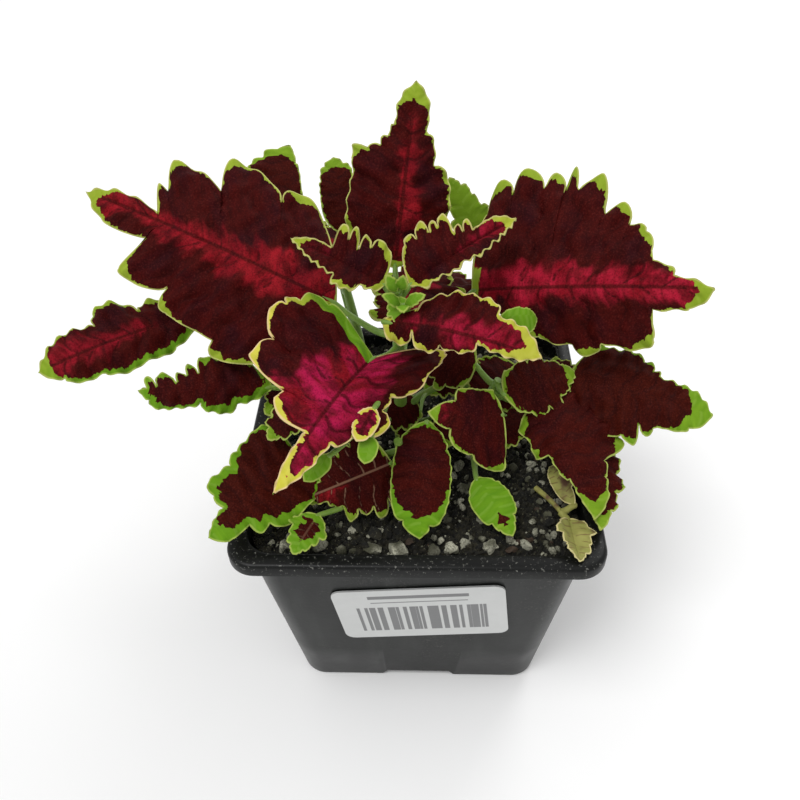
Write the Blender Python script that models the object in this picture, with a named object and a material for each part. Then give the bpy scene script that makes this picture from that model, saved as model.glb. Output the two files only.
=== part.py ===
"""A young coleus with lobed, two-coloured leaves, growing in a square nursery pot.

Metres, +Z up, +X to the right and -Y to the front. The origin is the middle of the plane that
the pot's feet stand on. Lengths in the tables are millimetres, turned into metres by MM.
"""
import math
import random
from collections import namedtuple

import bmesh
import bpy
from mathutils import Matrix, Vector

MM = 0.001
GAP = 0.3                   # clearance between neighbouring pieces

# The pot: half widths are measured from the middle to the flat of a side.
POT_HEIGHT = 78.0
LIP_HALF = 51.0
LIP_WIDTH = 4.6             # flat top of the rolled lip
LIP_DROP = 4.2              # how far the rolled edge hangs down outside
LIP_ROUND = 0.9             # how far the lip's outer and inner edges are eased
NECK_HALF = 46.8            # outer wall just under the lip
FOOT_HALF = 38.7            # outer wall at the feet
FOOT_WIDTH = 2.8
WALL = 1.0
TAPER = 0.3                 # the small slopes that let the pot leave its mould
FLOOR_LIFT = 3.0            # the floor stands above the feet
MIDDLE_FOOT = 7.0           # radius of the round foot under the middle of the floor
ROUND_SIDES = 12            # sides of the round foot and of a drain hole
CORNER_RADIUS = 8.0
CORNER_STEPS = 4
ARCH_WIDTH = 24.0           # opening under each side, between two feet
ARCH_BEVEL = 1.5
DRAIN_RADIUS = 4.5
DRAIN_REACH = 21.0          # from the middle to the four drain holes
OVERRUN = 2.0               # how far a cutter runs on past what it cuts

# The potting mix.
SOIL_TOP = 73.6
SOIL_MOUND = 1.8
SOIL_CELLS = 20
SOIL_ROUGHNESS = 0.7
SOIL_CORNER = CORNER_RADIUS + 0.6
SOIL_GRAINS = 50
GRAIN_RISE = 1.5

# The label on the front wall.
LABEL_WIDTH = 49.5
LABEL_HEIGHT = 29.5
LABEL_RADIUS = 3.0
LABEL_THICKNESS = 0.5
LABEL_MIDDLE_X = 1.5
LABEL_MIDDLE_Z = 46.8
LABEL_TURN = 6.1            # degrees, a little crooked

# The plant.
BLADE = 0.7                 # thickness of a leaf
STALK_RADIUS = 0.95
STALK_SIDES = 6
STEM_SIDES = 8
HOLE_SIDES = 12
HOLE_SLACK = GAP + 0.1      # a stem's hole in the mix is wider than the stem by this all round
STALK_REACH = 0.16          # the stalk runs on into the blade for this share of the midrib
STALK_SAG = ((.35, .1), (.75, .07))     # along the stalk, and how far it sags there
STALK_TAPER = (1.15, .75)   # its radius at the stem and in the blade

# Where the surface of a blade is drawn, as shares of the midrib or of the way between two of the
# margin's points.
MIDRIB_PLACES = (0, .08, .22, .4, .6, .8, 1)
MIDDLE_PLACES = (.1, .28, .48, .68, .86)
MIDDLE_LINE = .5            # the line between the midrib and the margin
MIDDLE_ROOM = .05           # a notch this near to a place on that line takes its place
BETWEEN = (.12, .45)
SMALL_RISE = 2.5            # a lower and shorter rise than this is drawn straight
SMALL_RUN = .06
FULLNESS = .7               # how full a tooth is: lower is fuller
WAVE_COUNT = 4.0            # waves of the margin along a side
WAVE_POWER = 2.5            # how much the waves keep to the margin
TOOTH_CREST = .6            # where an even tooth is highest, as a share of it
TOOTH_VARIETY = .12         # how much even teeth differ in height

# An outline for ordinary leaves: half width against the position along the midrib, as shares, the
# number of teeth, how deep the notches are cut, and how far along the teeth reach.
Kind = namedtuple("Kind", "profile teeth cut reach")
KINDS = {
    "toothed": Kind(((0, 0), (.03, .5), (.1, .88), (.22, 1), (.38, .94), (.52, .78), (.64, .52),
                     (.72, .34), (.8, .29), (.9, .18), (1, 0)), 5, .26, .74),
    "small": Kind(((0, 0), (.06, .55), (.22, 1), (.5, .9), (.72, .58), (.88, .28), (1, 0)), 4, .2, .8),
}

# One side of a leaf: its margin, the forward slant of its teeth at the base and at the tip, and how
# far it folds down in degrees. The margin is a row of (share of the midrib, distance from it), with
# every notch and every tip of a tooth, or a kind with its full half width.
Side = namedtuple("Side", "margin lean fold")
# A leaf: its base and tip, the way its upper side looks, the sides left and right of the midrib seen
# from above with the tip away, the midrib's hump as a share of its length, the height of the
# margin's waves, and the height at which its stalk leaves the stem.
Leaf = namedtuple("Leaf", "name base tip face left right hump wave node")
# A leafy stem: its name, the points it passes through, its radius low and high, and its leaves.
Stem = namedtuple("Stem", "name path radii leaves")


def even(kind, width_left, width_right, lean, fold=12):
    """Both sides of an ordinary leaf."""
    return Side((kind, width_left), lean, fold), Side((kind, width_right), lean, fold)


STEMS = (
    Stem("leafy_stem_centre", ((-5, -1, 54), (-5, -1, 80), (-5, -2, 110), (-5, -3, 133)), (2.3, 1.4), (
        Leaf("big_left", (-22, 5, 122), (-94, 31, 142), (.1, -.6, .8),
             Side(((.06, 17), (.11, 22.5), (.24, 28.5), (.27, 24), (.43, 23), (.49, 16), (.58, 19),
                   (.65, 16.5), (.67, 5.5), (.77, 7)), (.1, .7), 16),
             Side(((.16, 27), (.23, 21), (.38, 28.5), (.44, 16), (.61, 20), (.64, 9.5), (.67, 10.5),
                   (.69, 1.5), (.82, 4)), (.3, .9), 12), .05, 1.6, 116),
        Leaf("big_right", (15, 11, 122), (74, -8, 136), (-.1, -.62, .78),
             Side(((.05, 23.5), (.11, 33), (.15, 28.5), (.21, 35), (.26, 27), (.29, 34), (.33, 28),
                   (.35, 35), (.38, 25.5), (.45, 31.5), (.49, 19), (.54, 23.5), (.59, 17.5), (.66, 15),
                   (.71, 7), (.83, 3)), (-.1, .5), 6),
             Side(((.19, 8.5), (.25, 14.5), (.37, 16.5), (.43, 19.5), (.49, 15.5), (.6, 17.5),
                   (.69, 14), (.71, 6.5), (.87, 5.5)), (.1, .5), 36), .05, 1.6, 116),
        Leaf("back_top", (-6, 10, 130), (0, 33, 172), (0, -.75, .65),
             Side(((.16, 15.5), (.38, 15), (.47, 15), (.53, 15.5), (.56, 11), (.6, 8), (.66, 6),
                   (.73, 4.5), (.8, 4.5)), (.1, .5), 14),
             Side(((.3, 13), (.53, 7.5), (.7, 4.5), (.81, 4.5)), (.1, .5), 14), .04, 1.2, 122),
        Leaf("inner_left", (-8, -2, 133), (-32, 3, 144), (.2, -.5, .85),
             Side(((.04, 3.5), (.2, 5), (.36, 9.5), (.45, 6)), (.1, .3), -24),
             Side(((.04, 8), (.18, 9.5), (.24, 7), (.31, 9.5), (.35, 5), (.42, 9.5), (.46, 6),
                   (.53, 9.5), (.59, 2), (.72, 2.5)), (.1, .3), -16), .04, .8, 129),
        Leaf("inner_right", (-2, -2, 133), (26, 12, 144), (-.2, -.5, .85),
             Side(((.1, 9), (.16, 11), (.2, 9), (.26, 12.5), (.31, 8.5), (.34, 10.5), (.38, 8.5),
                   (.44, 11), (.48, 5), (.52, 6.5), (.55, 4), (.6, 6.5), (.63, 3), (.77, 3.5)),
                  (.1, .4), -16),
             Side(((.11, 5), (.2, 5), (.45, 5.5), (.78, 3)), (.1, .3), -24), .04, .8, 129),
        Leaf("bud_front", (-4.6, -4.5, 131.5), (-4, -10.5, 126), (0, -.8, .6),
             *even("small", 3.5, 3.5, (.1, .3), 10), .06, 0.3, 130),
        Leaf("front_right", (-9, -8, 126), (32, -17, 121), (0, -.6, .8),
             Side(((.19, 4.5), (.32, 10.5), (.51, 12), (.65, 7.5), (.76, 7)), (.1, .3), 14),
             Side(((.08, 5.5), (.16, 6), (.2, 2), (.26, 7), (.37, 4.5), (.46, 5.5), (.6, 1.5),
                   (.8, 3)), (.1, .3), 40), .14, 1.0, 123),
        Leaf("front_left", (-11, -13, 118), (-33, -53, 110), (-.1, -.45, .9),
             Side(((.1, 16), (.17, 18), (.31, 15.5), (.33, 12), (.4, 12.5), (.48, 16.5), (.51, 13.5),
                   (.55, 9.5), (.62, 6)), (-1.6, .9), 42),
             Side(((.07, 17.5), (.16, 24.5), (.2, 27.5), (.23, 25.5), (.26, 27.5), (.36, 22),
                   (.45, 24.5), (.52, 11), (.56, 12), (.65, 1), (.79, 1.5)), (-.6, .6), -12),
             .10, 1.5, 113),
        Leaf("back_low", (-3, 15, 108), (3, 52, 108), (0, .2, 1),
             *even("toothed", 15, 15, (.1, .3), 14), .08, 1.2, 104),
    )),
    Stem("leafy_stem_right", ((14, -3, 54), (14, -3, 76), (18, -4, 90), (23, -4, 102)), (1.8, 1.2), (
        Leaf("far_right", (43, 0, 100), (80, -16, 100), (0, -.5, .85),
             Side(((.1, 13), (.41, 11), (.5, 8.5), (.56, 6.5), (.73, 6)), (.1, .4), 12),
             Side(((.27, 14), (.39, 13), (.46, 14.5), (.5, 8.5), (.54, 11), (.59, 8), (.82, 5.5)),
                  (.1, .5), 12), .06, 1.2, 101),
        Leaf("mid_right", (34, -8, 97), (47, -40, 85), (.1, -.6, .8),
             Side(((.09, 8.5), (.2, 16), (.29, 20), (.32, 16.5), (.37, 22), (.42, 15.5), (.56, 18),
                   (.6, 10), (.71, 8)), (-.8, .5), 14),
             Side(((.12, 8.5), (.22, 8), (.37, 8), (.42, 4.5), (.66, 2)), (0, .3), 30), .08, 1.2, 98),
        Leaf("centre_right", (24, -14, 98), (3, -18, 103), (0, -.7, .7),
             Side(((.08, 12), (.14, 16), (.41, 11.5), (.69, 4.5)), (-.3, .3), 10),
             Side(((.15, 7), (.51, 7), (.63, 3.5)), (.1, .3), 10), .08, 1.0, 97),
        Leaf("low_right", (50, -10, 88), (49, -41, 82), (.2, -.5, .8),
             *even("small", 8, 8, (.1, .3), 10), .08, 1.0, 92),
        Leaf("dark_right", (24, -9, 101), (45, 1, 101), (0, -.5, .8),
             *even("small", 9, 10, (.1, .3), 10), .08, 1.0, 101),
        Leaf("dark_centre", (17, 0, 104), (1, 6, 101), (-.1, -.5, .8),
             *even("small", 9, 9, (.1, .3), 10), .08, 1.0, 100),
        Leaf("green_small", (16.5, -24.5, 84), (26, -41, 79), (0, -.5, .85),
             Side(((.16, 4.2), (.4, 5.8), (.7, 3.4), (.82, 2.4)), (.1, .3), 10),
             Side(((.16, 4.2), (.36, 5.6), (.68, 3.2), (.82, 2.2)), (.1, .3), 10), .06, 0.4, 83),
    )),
    Stem("leafy_stem_left", ((-19, 2, 54), (-19, 2, 76), (-24, 2, 90), (-28, 3, 102)), (1.8, 1.2), (
        Leaf("far_left", (-65, 18, 109), (-106, -7, 107), (0, -.5, .85),
             Side(((.2, 8), (.52, 10), (.62, 8.5), (.85, 5)), (.1, .3), 12),
             Side(((.14, 5.5), (.2, 10), (.31, 7), (.43, 13.5), (.53, 11.5), (.57, 7), (.72, 8.5)),
                  (.1, .4), 12), .06, 1.2, 101),
        Leaf("low_left", (-41, -5, 100), (-77, -12, 105), (0, -.5, .85),
             Side(((.25, 5.5), (.34, 8.5), (.52, 5), (.68, 6.5), (.82, 6), (.9, 3)), (.1, .3), 40),
             Side(((.21, 8), (.45, 9), (.52, 4), (.56, 7), (.61, 3.5), (.65, 4.5), (.7, 1.5),
                   (.77, 4.5), (.85, 1), (.89, 4), (.93, .5)), (.1, .5), 6), .06, .8, 96),
        Leaf("dark_left", (-29, -12, 102), (-40, -24, 98), (0, -.5, .85),
             *even("small", 6, 7, (.1, .3)), .06, 0.8, 93),
    )),
    Stem("leafy_stem_front", ((-4, -19, 54), (-4, -19, 76), (-4, -21, 88), (-5, -23, 97)), (1.7, 1.1), (
        Leaf("front_low_left", (-33, -23, 91.5), (-54, -47, 85), (0, -.6, .8),
             Side(((.05, 7), (.23, 12.5), (.45, 13), (.58, 9), (.65, 9.5), (.69, 5.5), (.84, 5)),
                  (-.4, .3), 12),
             Side(((.06, 10), (.21, 13.5), (.36, 12.5), (.46, 10.5), (.6, 11.5), (.69, 7), (.73, 3)),
                  (-.4, .5), 12), .08, 1.2, 92),
        Leaf("veined_front", (-6.5, -26, 91.5), (-31, -32, 83), (0, -.7, .7),
             *even("toothed", 13, 12, (.1, .3)), .06, 1.0, 89),
        Leaf("front_middle", (3, -16, 98), (1, -43, 80), (.05, -.75, .66),
             Side(((.22, 6), (.49, 7.5), (.87, 2.5)), (.1, .3), 10),
             Side(((.16, 7), (.5, 9), (.82, 5)), (.1, .3), 10), .10, 0.6, 94),
        Leaf("front_small", (-26, -38, 84), (-32, -49, 81), (0, -.5, .85),
             *even("small", 5, 6, (.1, .3), 10), .06, 0.4, 82),
    )),
    Stem("leafy_stem_back_left",
         ((-16, 20, 54), (-16, 20, 76), (-20, 28, 98), (-24, 34, 114)), (1.9, 1.2), (
        Leaf("back_left_tip", (-37, 38, 118), (-40, 63, 140), (0, -.7, .7),
             Side(((.3, 13), (.6, 15), (.85, 9.5), (.95, 4.5)), (.1, .3), 12),
             Side(((.3, 3), (.8, 1.5)), (.1, .3), 12), .06, 0.8, 113),
        Leaf("back_small", (-22, 42, 120), (-26, 57, 139), (0, -.7, .7),
             Side(((.3, 6.5), (.67, 5.5), (.87, 3.5)), (.1, .3), 12),
             Side(((.3, 5), (.62, 4), (.73, 5), (.88, 2.5)), (.1, .3), 12), .06, 0.8, 113),
        Leaf("behind_left", (-37, 43, 105), (-75, 60, 99), (-.3, .3, 1),
             *even("toothed", 14, 14, (.1, .4)), .10, 1.2, 100),
        Leaf("behind_left_low", (-26, 48, 98), (-38, 87, 88), (-.1, .4, 1),
             *even("toothed", 14, 14, (.1, .4)), .10, 1.2, 94),
        Leaf("behind_left_high", (-29, 47, 111), (-52, 76, 107), (-.2, .4, 1),
             *even("toothed", 11, 11, (.1, .4)), .12, 1.0, 106),
    )),
    Stem("leafy_stem_back_right",
         ((15, 20, 54), (15, 20, 76), (18, 27, 98), (20, 32, 114)), (1.9, 1.2), (
        Leaf("back_right_tip", (19, 38, 122), (9, 42, 140), (0, -.7, .5),
             *even("small", 6, 6, (.1, .3)), .06, 0.8, 113),
        Leaf("behind_right", (27, 47, 104), (46, 84, 95), (.2, .4, 1),
             *even("toothed", 14, 14, (.1, .4)), .10, 1.2, 99),
        Leaf("behind_far_right", (36, 34, 105), (76, 50, 99), (.4, .2, 1),
             *even("toothed", 14, 14, (.1, .4)), .10, 1.2, 102),
        Leaf("behind_middle", (14, 42, 94), (3, 76, 84), (-.1, .4, 1),
             *even("toothed", 12, 12, (.1, .4)), .10, 1.0, 90),
    )),
)

# A dry leaf that has dropped on the mix and the lip, with its stalk as its only stem.
DRY_LEAF = Stem("withered_leaf", ((34, -22, 76.8), (38, -28, 77.6), (41.5, -36, 79.3)), (.8, .6), (
    Leaf("dry_blade", (41.5, -35, 79.3), (42.8, -49, 79.1), (.2, .1, 1),
         Side(("small", 6), (.1, .3), -18), Side(("small", 6), (.1, .3), -30), -.02, .6, 78.5),
))

# Colours are linear red, green and blue, with roughness and metallic value.
FINISHES = {
    "black_plastic": ((.035, .038, .038), .38, 0),
    "potting_mix": ((.035, .026, .02), .95, 0),
    "label_paper": ((.6, .62, .6), .45, 0),
    "coleus_leaf": ((.06, .006, .006), .7, 0),
    "dry_leaf": ((.32, .26, .07), .85, 0),
}


def clear_scene():
    """Removes what a new file starts with."""
    for item in list(bpy.data.objects):
        bpy.data.objects.remove(item, do_unlink=True)


def finish(name):
    """The material of one finish, made once."""
    if name in bpy.data.materials:
        return bpy.data.materials[name]
    colour, roughness, metallic = FINISHES[name]
    material = bpy.data.materials.new(name)
    material.use_nodes = True
    shader = material.node_tree.nodes["Principled BSDF"]
    shader.inputs["Base Color"].default_value = (*colour, 1)
    shader.inputs["Roughness"].default_value = roughness
    shader.inputs["Metallic"].default_value = metallic
    return material


def add_object(name, mesh, finish_name):
    """A new object in the scene that shows this mesh in this finish."""
    item = bpy.data.objects.new(name, mesh)
    bpy.context.scene.collection.objects.link(item)
    mesh.materials.append(finish(finish_name))
    return item


def mesh_from_bmesh(name, bm):
    """Turns a finished bmesh into a mesh with its faces pointing out."""
    bmesh.ops.recalc_face_normals(bm, faces=bm.faces)
    mesh = bpy.data.meshes.new(name)
    bm.to_mesh(mesh)
    bm.free()
    return mesh


def rounded_square(half, radius):
    """Corners of a square with round corners, anticlockwise, in millimetres."""
    points = []
    for quarter in range(4):
        turn = math.radians(90 * quarter)
        centre = Vector((half - radius, half - radius))
        centre.rotate(Matrix.Rotation(turn, 2))
        for step in range(CORNER_STEPS + 1):
            angle = turn + math.radians(90) * step / CORNER_STEPS
            points.append((centre.x + radius * math.cos(angle), centre.y + radius * math.sin(angle)))
    return points


def loft(bm, rings):
    """Joins rings of equally many points, given in millimetres, and caps the first and last."""
    rows = [[bm.verts.new(Vector(point) * MM) for point in ring] for ring in rings]
    count = len(rows[0])
    for low, high in zip(rows, rows[1:]):
        for here in range(count):
            after = (here + 1) % count
            bm.faces.new((low[here], low[after], high[after], high[here]))
    bm.faces.new(list(reversed(rows[0])))
    bm.faces.new(rows[-1])


def cutter(name, mesh):
    """An object that only cuts others and is left out of the model."""
    item = bpy.data.objects.new(name, mesh)
    bpy.context.scene.collection.objects.link(item)
    item.hide_render = True
    item.display_type = "WIRE"
    return item


def cut(item, tool, operation="DIFFERENCE"):
    """Cuts the tool's shape out of an object, or joins it on, and removes the tool."""
    modifier = item.modifiers.new("cut", "BOOLEAN")
    modifier.operation = operation
    modifier.object = tool
    apply_modifiers(item)
    bpy.data.objects.remove(tool, do_unlink=True)


def apply_modifiers(item):
    """Replaces an object's mesh by the one its modifiers make."""
    shown = item.evaluated_get(bpy.context.evaluated_depsgraph_get())
    mesh = bpy.data.meshes.new_from_object(shown)
    item.modifiers.clear()
    item.data = mesh


def prism(bm, centre, radius, low, high, sides):
    """An upright prism in a bmesh, in millimetres."""
    ring = [(centre[0] + radius * math.cos(math.tau * k / sides),
             centre[1] + radius * math.sin(math.tau * k / sides)) for k in range(sides)]
    loft(bm, [[(x, y, low) for x, y in ring], [(x, y, high) for x, y in ring]])


def half_at(z):
    """The half width of the pot's outer wall at a height."""
    return FOOT_HALF + (NECK_HALF - FOOT_HALF) * z / (POT_HEIGHT - LIP_DROP)


def make_pot():
    """The pot: four sloping walls, a rolled lip, and a floor with drain holes, raised on feet."""
    lip_in = LIP_HALF - LIP_WIDTH
    neck = POT_HEIGHT - LIP_DROP
    lip_under = POT_HEIGHT - WALL - TAPER
    section = (
        (FLOOR_LIFT, FOOT_HALF - FOOT_WIDTH - TAPER),
        (0, FOOT_HALF - FOOT_WIDTH),
        (0, FOOT_HALF - 2 * TAPER),
        (2 * TAPER, half_at(2 * TAPER)),
        (neck, half_at(neck)),
        (lip_under, half_at(neck) + TAPER),
        (lip_under, LIP_HALF - WALL - TAPER),
        (neck, LIP_HALF - WALL),
        (neck, LIP_HALF),
        (POT_HEIGHT - LIP_ROUND, LIP_HALF),
        (POT_HEIGHT, LIP_HALF - LIP_ROUND),
        (POT_HEIGHT, lip_in - TAPER + LIP_ROUND),
        (POT_HEIGHT - LIP_ROUND, lip_in - TAPER),
        (FLOOR_LIFT + WALL, half_at(FLOOR_LIFT) - WALL),
    )
    bm = bmesh.new()
    loft(bm, [[(x, y, z) for x, y in rounded_square(half, CORNER_RADIUS)] for z, half in section])
    pot = add_object("pot", mesh_from_bmesh("pot", bm), "black_plastic")
    cut(pot, cutter("arches", arch_cutter_mesh()))
    cut(pot, cutter("drains", drain_cutter_mesh()))
    join_foot(pot)
    return pot


def arch_cutter_mesh():
    """Two crossed bars with bevelled tops that open a low arch under each side."""
    far = FOOT_HALF + OVERRUN
    near = FOOT_HALF - FOOT_WIDTH - OVERRUN
    half = ARCH_WIDTH / 2
    top = FLOOR_LIFT - TAPER
    arch = ((-half, -OVERRUN), (half, -OVERRUN), (half - ARCH_BEVEL, top), (ARCH_BEVEL - half, top))
    bm = bmesh.new()
    for inner, outer in ((near, far), (-far, -near)):
        loft(bm, [[(x, inner, z) for x, z in arch], [(x, outer, z) for x, z in arch]])
        loft(bm, [[(inner, y, z) for y, z in arch], [(outer, y, z) for y, z in arch]])
    return mesh_from_bmesh("arches", bm)


def drain_cutter_mesh():
    """Four round drain holes through the floor."""
    low, high = FLOOR_LIFT - OVERRUN, FLOOR_LIFT + WALL + OVERRUN
    bm = bmesh.new()
    for x, y in ((DRAIN_REACH, 0), (-DRAIN_REACH, 0), (0, DRAIN_REACH), (0, -DRAIN_REACH)):
        prism(bm, (x, y), DRAIN_RADIUS, low, high, ROUND_SIDES)
    return mesh_from_bmesh("drains", bm)


def join_foot(pot):
    """Joins a round foot under the middle of the floor, level with the rim of the other feet."""
    bm = bmesh.new()
    prism(bm, (0, 0), MIDDLE_FOOT, 0, FLOOR_LIFT + WALL / 2, ROUND_SIDES)
    cut(pot, cutter("middle_foot", mesh_from_bmesh("middle_foot", bm)), "UNION")


def inner_half(z):
    """The half width of the potting mix at a height: the pot's inner wall less the clearance."""
    low, high = FLOOR_LIFT + WALL, POT_HEIGHT - LIP_ROUND
    bottom, top = half_at(FLOOR_LIFT) - WALL, LIP_HALF - LIP_WIDTH - TAPER
    return bottom + (top - bottom) * (z - low) / (high - low) - GAP


def square_to_pot(u, v, half):
    """Maps a point of the square from -1 to 1 to the pot's round-cornered square."""
    reach = max(abs(u), abs(v))
    if reach == 0:
        return 0.0, 0.0
    across = min(abs(u), abs(v)) / reach
    flat = half - SOIL_CORNER
    edge = half
    if across * half > flat:
        # the ray meets the round corner: solve for the distance along it
        length = math.hypot(1, across)
        c = flat * (1 + across) / length
        d = 2 * flat ** 2 - SOIL_CORNER ** 2
        edge = min((c + math.sqrt(max(c * c - d, 0))) / length, half)
    return u * edge, v * edge


def soil_grid(bm):
    """The top of the mix as rows of vertices, with a few coarse grains standing proud."""
    draw = random.Random(7)
    cells = SOIL_CELLS
    top_half = inner_half(SOIL_TOP)
    grains = {(draw.randrange(1, cells), draw.randrange(1, cells)) for _ in range(SOIL_GRAINS)}
    grid = []
    for j in range(cells + 1):
        row = []
        for i in range(cells + 1):
            u, v = 2 * i / cells - 1, 2 * j / cells - 1
            x, y = square_to_pot(u, v, top_half)
            z = SOIL_TOP + SOIL_MOUND * (1 - max(abs(u), abs(v)) ** 2)
            on_edge = i in (0, cells) or j in (0, cells)
            if not on_edge:
                z += SOIL_ROUGHNESS * draw.uniform(-1, 1)
            if (i, j) in grains:
                z += GRAIN_RISE
            row.append(bm.verts.new((x * MM, y * MM, z * MM)))
        grid.append(row)
    return grid


def make_potting_mix(stems):
    """The potting mix: it fills the pot nearly to the lip, heaped a little round the stems."""
    cells = SOIL_CELLS
    bm = bmesh.new()
    grid = soil_grid(bm)
    for j in range(cells):
        for i in range(cells):
            bm.faces.new((grid[j][i], grid[j][i + 1], grid[j + 1][i + 1], grid[j + 1][i]))
    places = list(range(cells))
    rim_cells = ([(i, 0) for i in places] + [(cells, j) for j in places]
                 + [(cells - i, cells) for i in places] + [(0, cells - j) for j in places])
    low = FLOOR_LIFT + WALL + GAP
    foot = []
    for i, j in rim_cells:
        x, y = square_to_pot(2 * i / cells - 1, 2 * j / cells - 1, inner_half(low))
        foot.append(bm.verts.new((x * MM, y * MM, low * MM)))
    rim = [grid[j][i] for i, j in rim_cells]
    for here in range(len(rim)):
        after = (here + 1) % len(rim)
        bm.faces.new((rim[after], rim[here], foot[here], foot[after]))
    bm.faces.new(foot)
    soil = add_object("potting_mix", mesh_from_bmesh("potting_mix", bm), "potting_mix")
    cut(soil, cutter("stem_holes", hole_cutter_mesh(stems)))
    return soil


def hole_cutter_mesh(stems):
    """A plain upright hole for each stem."""
    bm = bmesh.new()
    for stem in stems:
        foot = stem.path[0]
        high = SOIL_TOP + SOIL_MOUND + GRAIN_RISE + OVERRUN
        prism(bm, foot, stem.radii[0] + HOLE_SLACK, foot[2] - GAP, high, HOLE_SIDES)
    return mesh_from_bmesh("stem_holes", bm)


def make_label():
    """The paper label, stuck a little crooked on the front wall."""
    w, h, r = LABEL_WIDTH / 2, LABEL_HEIGHT / 2, LABEL_RADIUS
    outline = []
    for quarter, (cx, cz) in enumerate(((w - r, h - r), (r - w, h - r), (r - w, r - h), (w - r, r - h))):
        for step in range(CORNER_STEPS + 1):
            angle = math.radians(90 * (quarter + step / CORNER_STEPS))
            outline.append((cx + r * math.cos(angle), cz + r * math.sin(angle)))
    bm = bmesh.new()
    loft(bm, [[(x, 0, z) for x, z in outline], [(x, -LABEL_THICKNESS, z) for x, z in outline]])
    label = add_object("label", mesh_from_bmesh("label", bm), "label_paper")
    slope = math.atan2(NECK_HALF - FOOT_HALF, POT_HEIGHT - LIP_DROP)
    label.rotation_mode = "YXZ"
    label.rotation_euler = (slope, math.radians(-LABEL_TURN), 0)
    front = -half_at(LABEL_MIDDLE_Z) - GAP
    label.location = (LABEL_MIDDLE_X * MM, front * MM, LABEL_MIDDLE_Z * MM)
    return label


def share_at(profile, s):
    """The value of a row of (place, value) points at one place, straight between them."""
    for (s0, w0), (s1, w1) in zip(profile, profile[1:]):
        if s <= s1:
            return w0 + (w1 - w0) * (s - s0) / (s1 - s0)
    return 0


def margin_points(side):
    """The margin of one side as (place along the midrib, distance from it), base and tip included."""
    if not isinstance(side.margin[0], str):
        return ((0, 0), *side.margin, (1, 0))
    kind, width = KINDS[side.margin[0]], side.margin[1]
    points = [(0, 0)]
    for tooth in range(kind.teeth):
        crest = (tooth + TOOTH_CREST) / kind.teeth * kind.reach
        notch = (tooth + 1) / kind.teeth * kind.reach
        size = 1 + TOOTH_VARIETY * math.sin(2.4 * tooth + width)
        points.append((crest, width * size * share_at(kind.profile, crest)))
        points.append((notch, width * (1 - kind.cut) * share_at(kind.profile, notch)))
    beyond = (1 + kind.reach) / 2
    return (*points, (beyond, width * share_at(kind.profile, beyond)), (1, 0))


def width_at(points, s):
    """From the midrib to the margin: a quarter of a wave from each notch up to the next tip."""
    for (s0, w0), (s1, w1) in zip(points, points[1:]):
        if s <= s1:
            break
    along = (s - s0) / (s1 - s0)
    rise = math.sin(math.pi / 2 * max(along if w1 > w0 else 1 - along, 0)) ** FULLNESS
    return min(w0, w1) + abs(w1 - w0) * rise


def margin_places(points):
    """Where the margin is drawn: at each notch and tip, and on the curve between them."""
    places = [0]
    for (s0, w0), (s1, w1) in zip(points, points[1:]):
        shares = BETWEEN if w1 > w0 else [1 - share for share in reversed(BETWEEN)]
        if abs(w1 - w0) < SMALL_RISE and s1 - s0 < SMALL_RUN:
            shares = ()
        places += [s0 + (s1 - s0) * share for share in shares] + [s1]
    return places


def middle_row(points):
    """The line between midrib and margin as (place, share of the width there), kept inside notches."""
    notches = [s for (_, w0), (s, w), (_, w1) in zip(points, points[1:], points[2:]) if w <= min(w0, w1)]
    more = [s for s in MIDDLE_PLACES if all(abs(s - notch) > MIDDLE_ROOM for notch in notches)]
    row = []
    for s in sorted(notches + more):
        width = width_at(points, s)
        narrowest = min([w for place, w in points if abs(place - s) < MIDDLE_ROOM] + [width])
        row.append((s, MIDDLE_LINE * narrowest / width))
    return row


class Blade:
    """The middle surface of one leaf, read along the midrib and away from it."""

    def __init__(self, leaf):
        self.leaf = leaf
        self.base = Vector(leaf.base)
        chord = Vector(leaf.tip) - self.base
        self.length = chord.length
        self.along = chord.normalized()
        face = Vector(leaf.face)
        self.face = (face - self.along * face.dot(self.along)).normalized()
        self.side = self.face.cross(self.along)
        self.margins = {hand: margin_points(leaf.left if hand > 0 else leaf.right) for hand in (1, -1)}

    def midrib(self, s):
        """A point on the midrib, humped towards the upper side."""
        bulge = self.leaf.hump * 4 * s * (1 - s) * self.length
        return self.base + self.along * (s * self.length) + self.face * bulge

    def directions(self, hand):
        """Out across one half of the blade (hand 1 is left, -1 is right), and up from it."""
        fold = math.radians((self.leaf.left if hand > 0 else self.leaf.right).fold)
        out = self.side * (hand * math.cos(fold)) - self.face * math.sin(fold)
        up = self.face * math.cos(fold) + self.side * (hand * math.sin(fold))
        return out, up

    def point(self, s, v, hand):
        """A point of one half of the blade: v is 0 on the midrib and 1 on the margin."""
        points = self.margins[hand]
        side = self.leaf.left if hand > 0 else self.leaf.right
        out, _ = self.directions(hand)
        away = v * width_at(points, s)
        reach = max(width for _, width in points)
        lean = side.lean[0] + (side.lean[1] - side.lean[0]) * s
        wave = math.sin(math.tau * WAVE_COUNT * s + hand + self.base.x)
        lift = self.leaf.wave * wave * (away / reach) ** WAVE_POWER
        return self.midrib(s) + self.along * (lean * away) + out * away + self.face * lift


def strip(low, high):
    """Triangles between two rows of (place, vertex) that share their ends."""
    i = j = 0
    found = []
    while i < len(low) - 1 or j < len(high) - 1:
        step_low = j == len(high) - 1 or (i < len(low) - 1 and low[i + 1][0] <= high[j + 1][0])
        corners = [low[i][1], low[i + 1][1] if step_low else high[j + 1][1], high[j][1]]
        if step_low:
            i += 1
        else:
            j += 1
        if len(set(corners)) == 3:
            found.append(corners)
    return found


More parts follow.
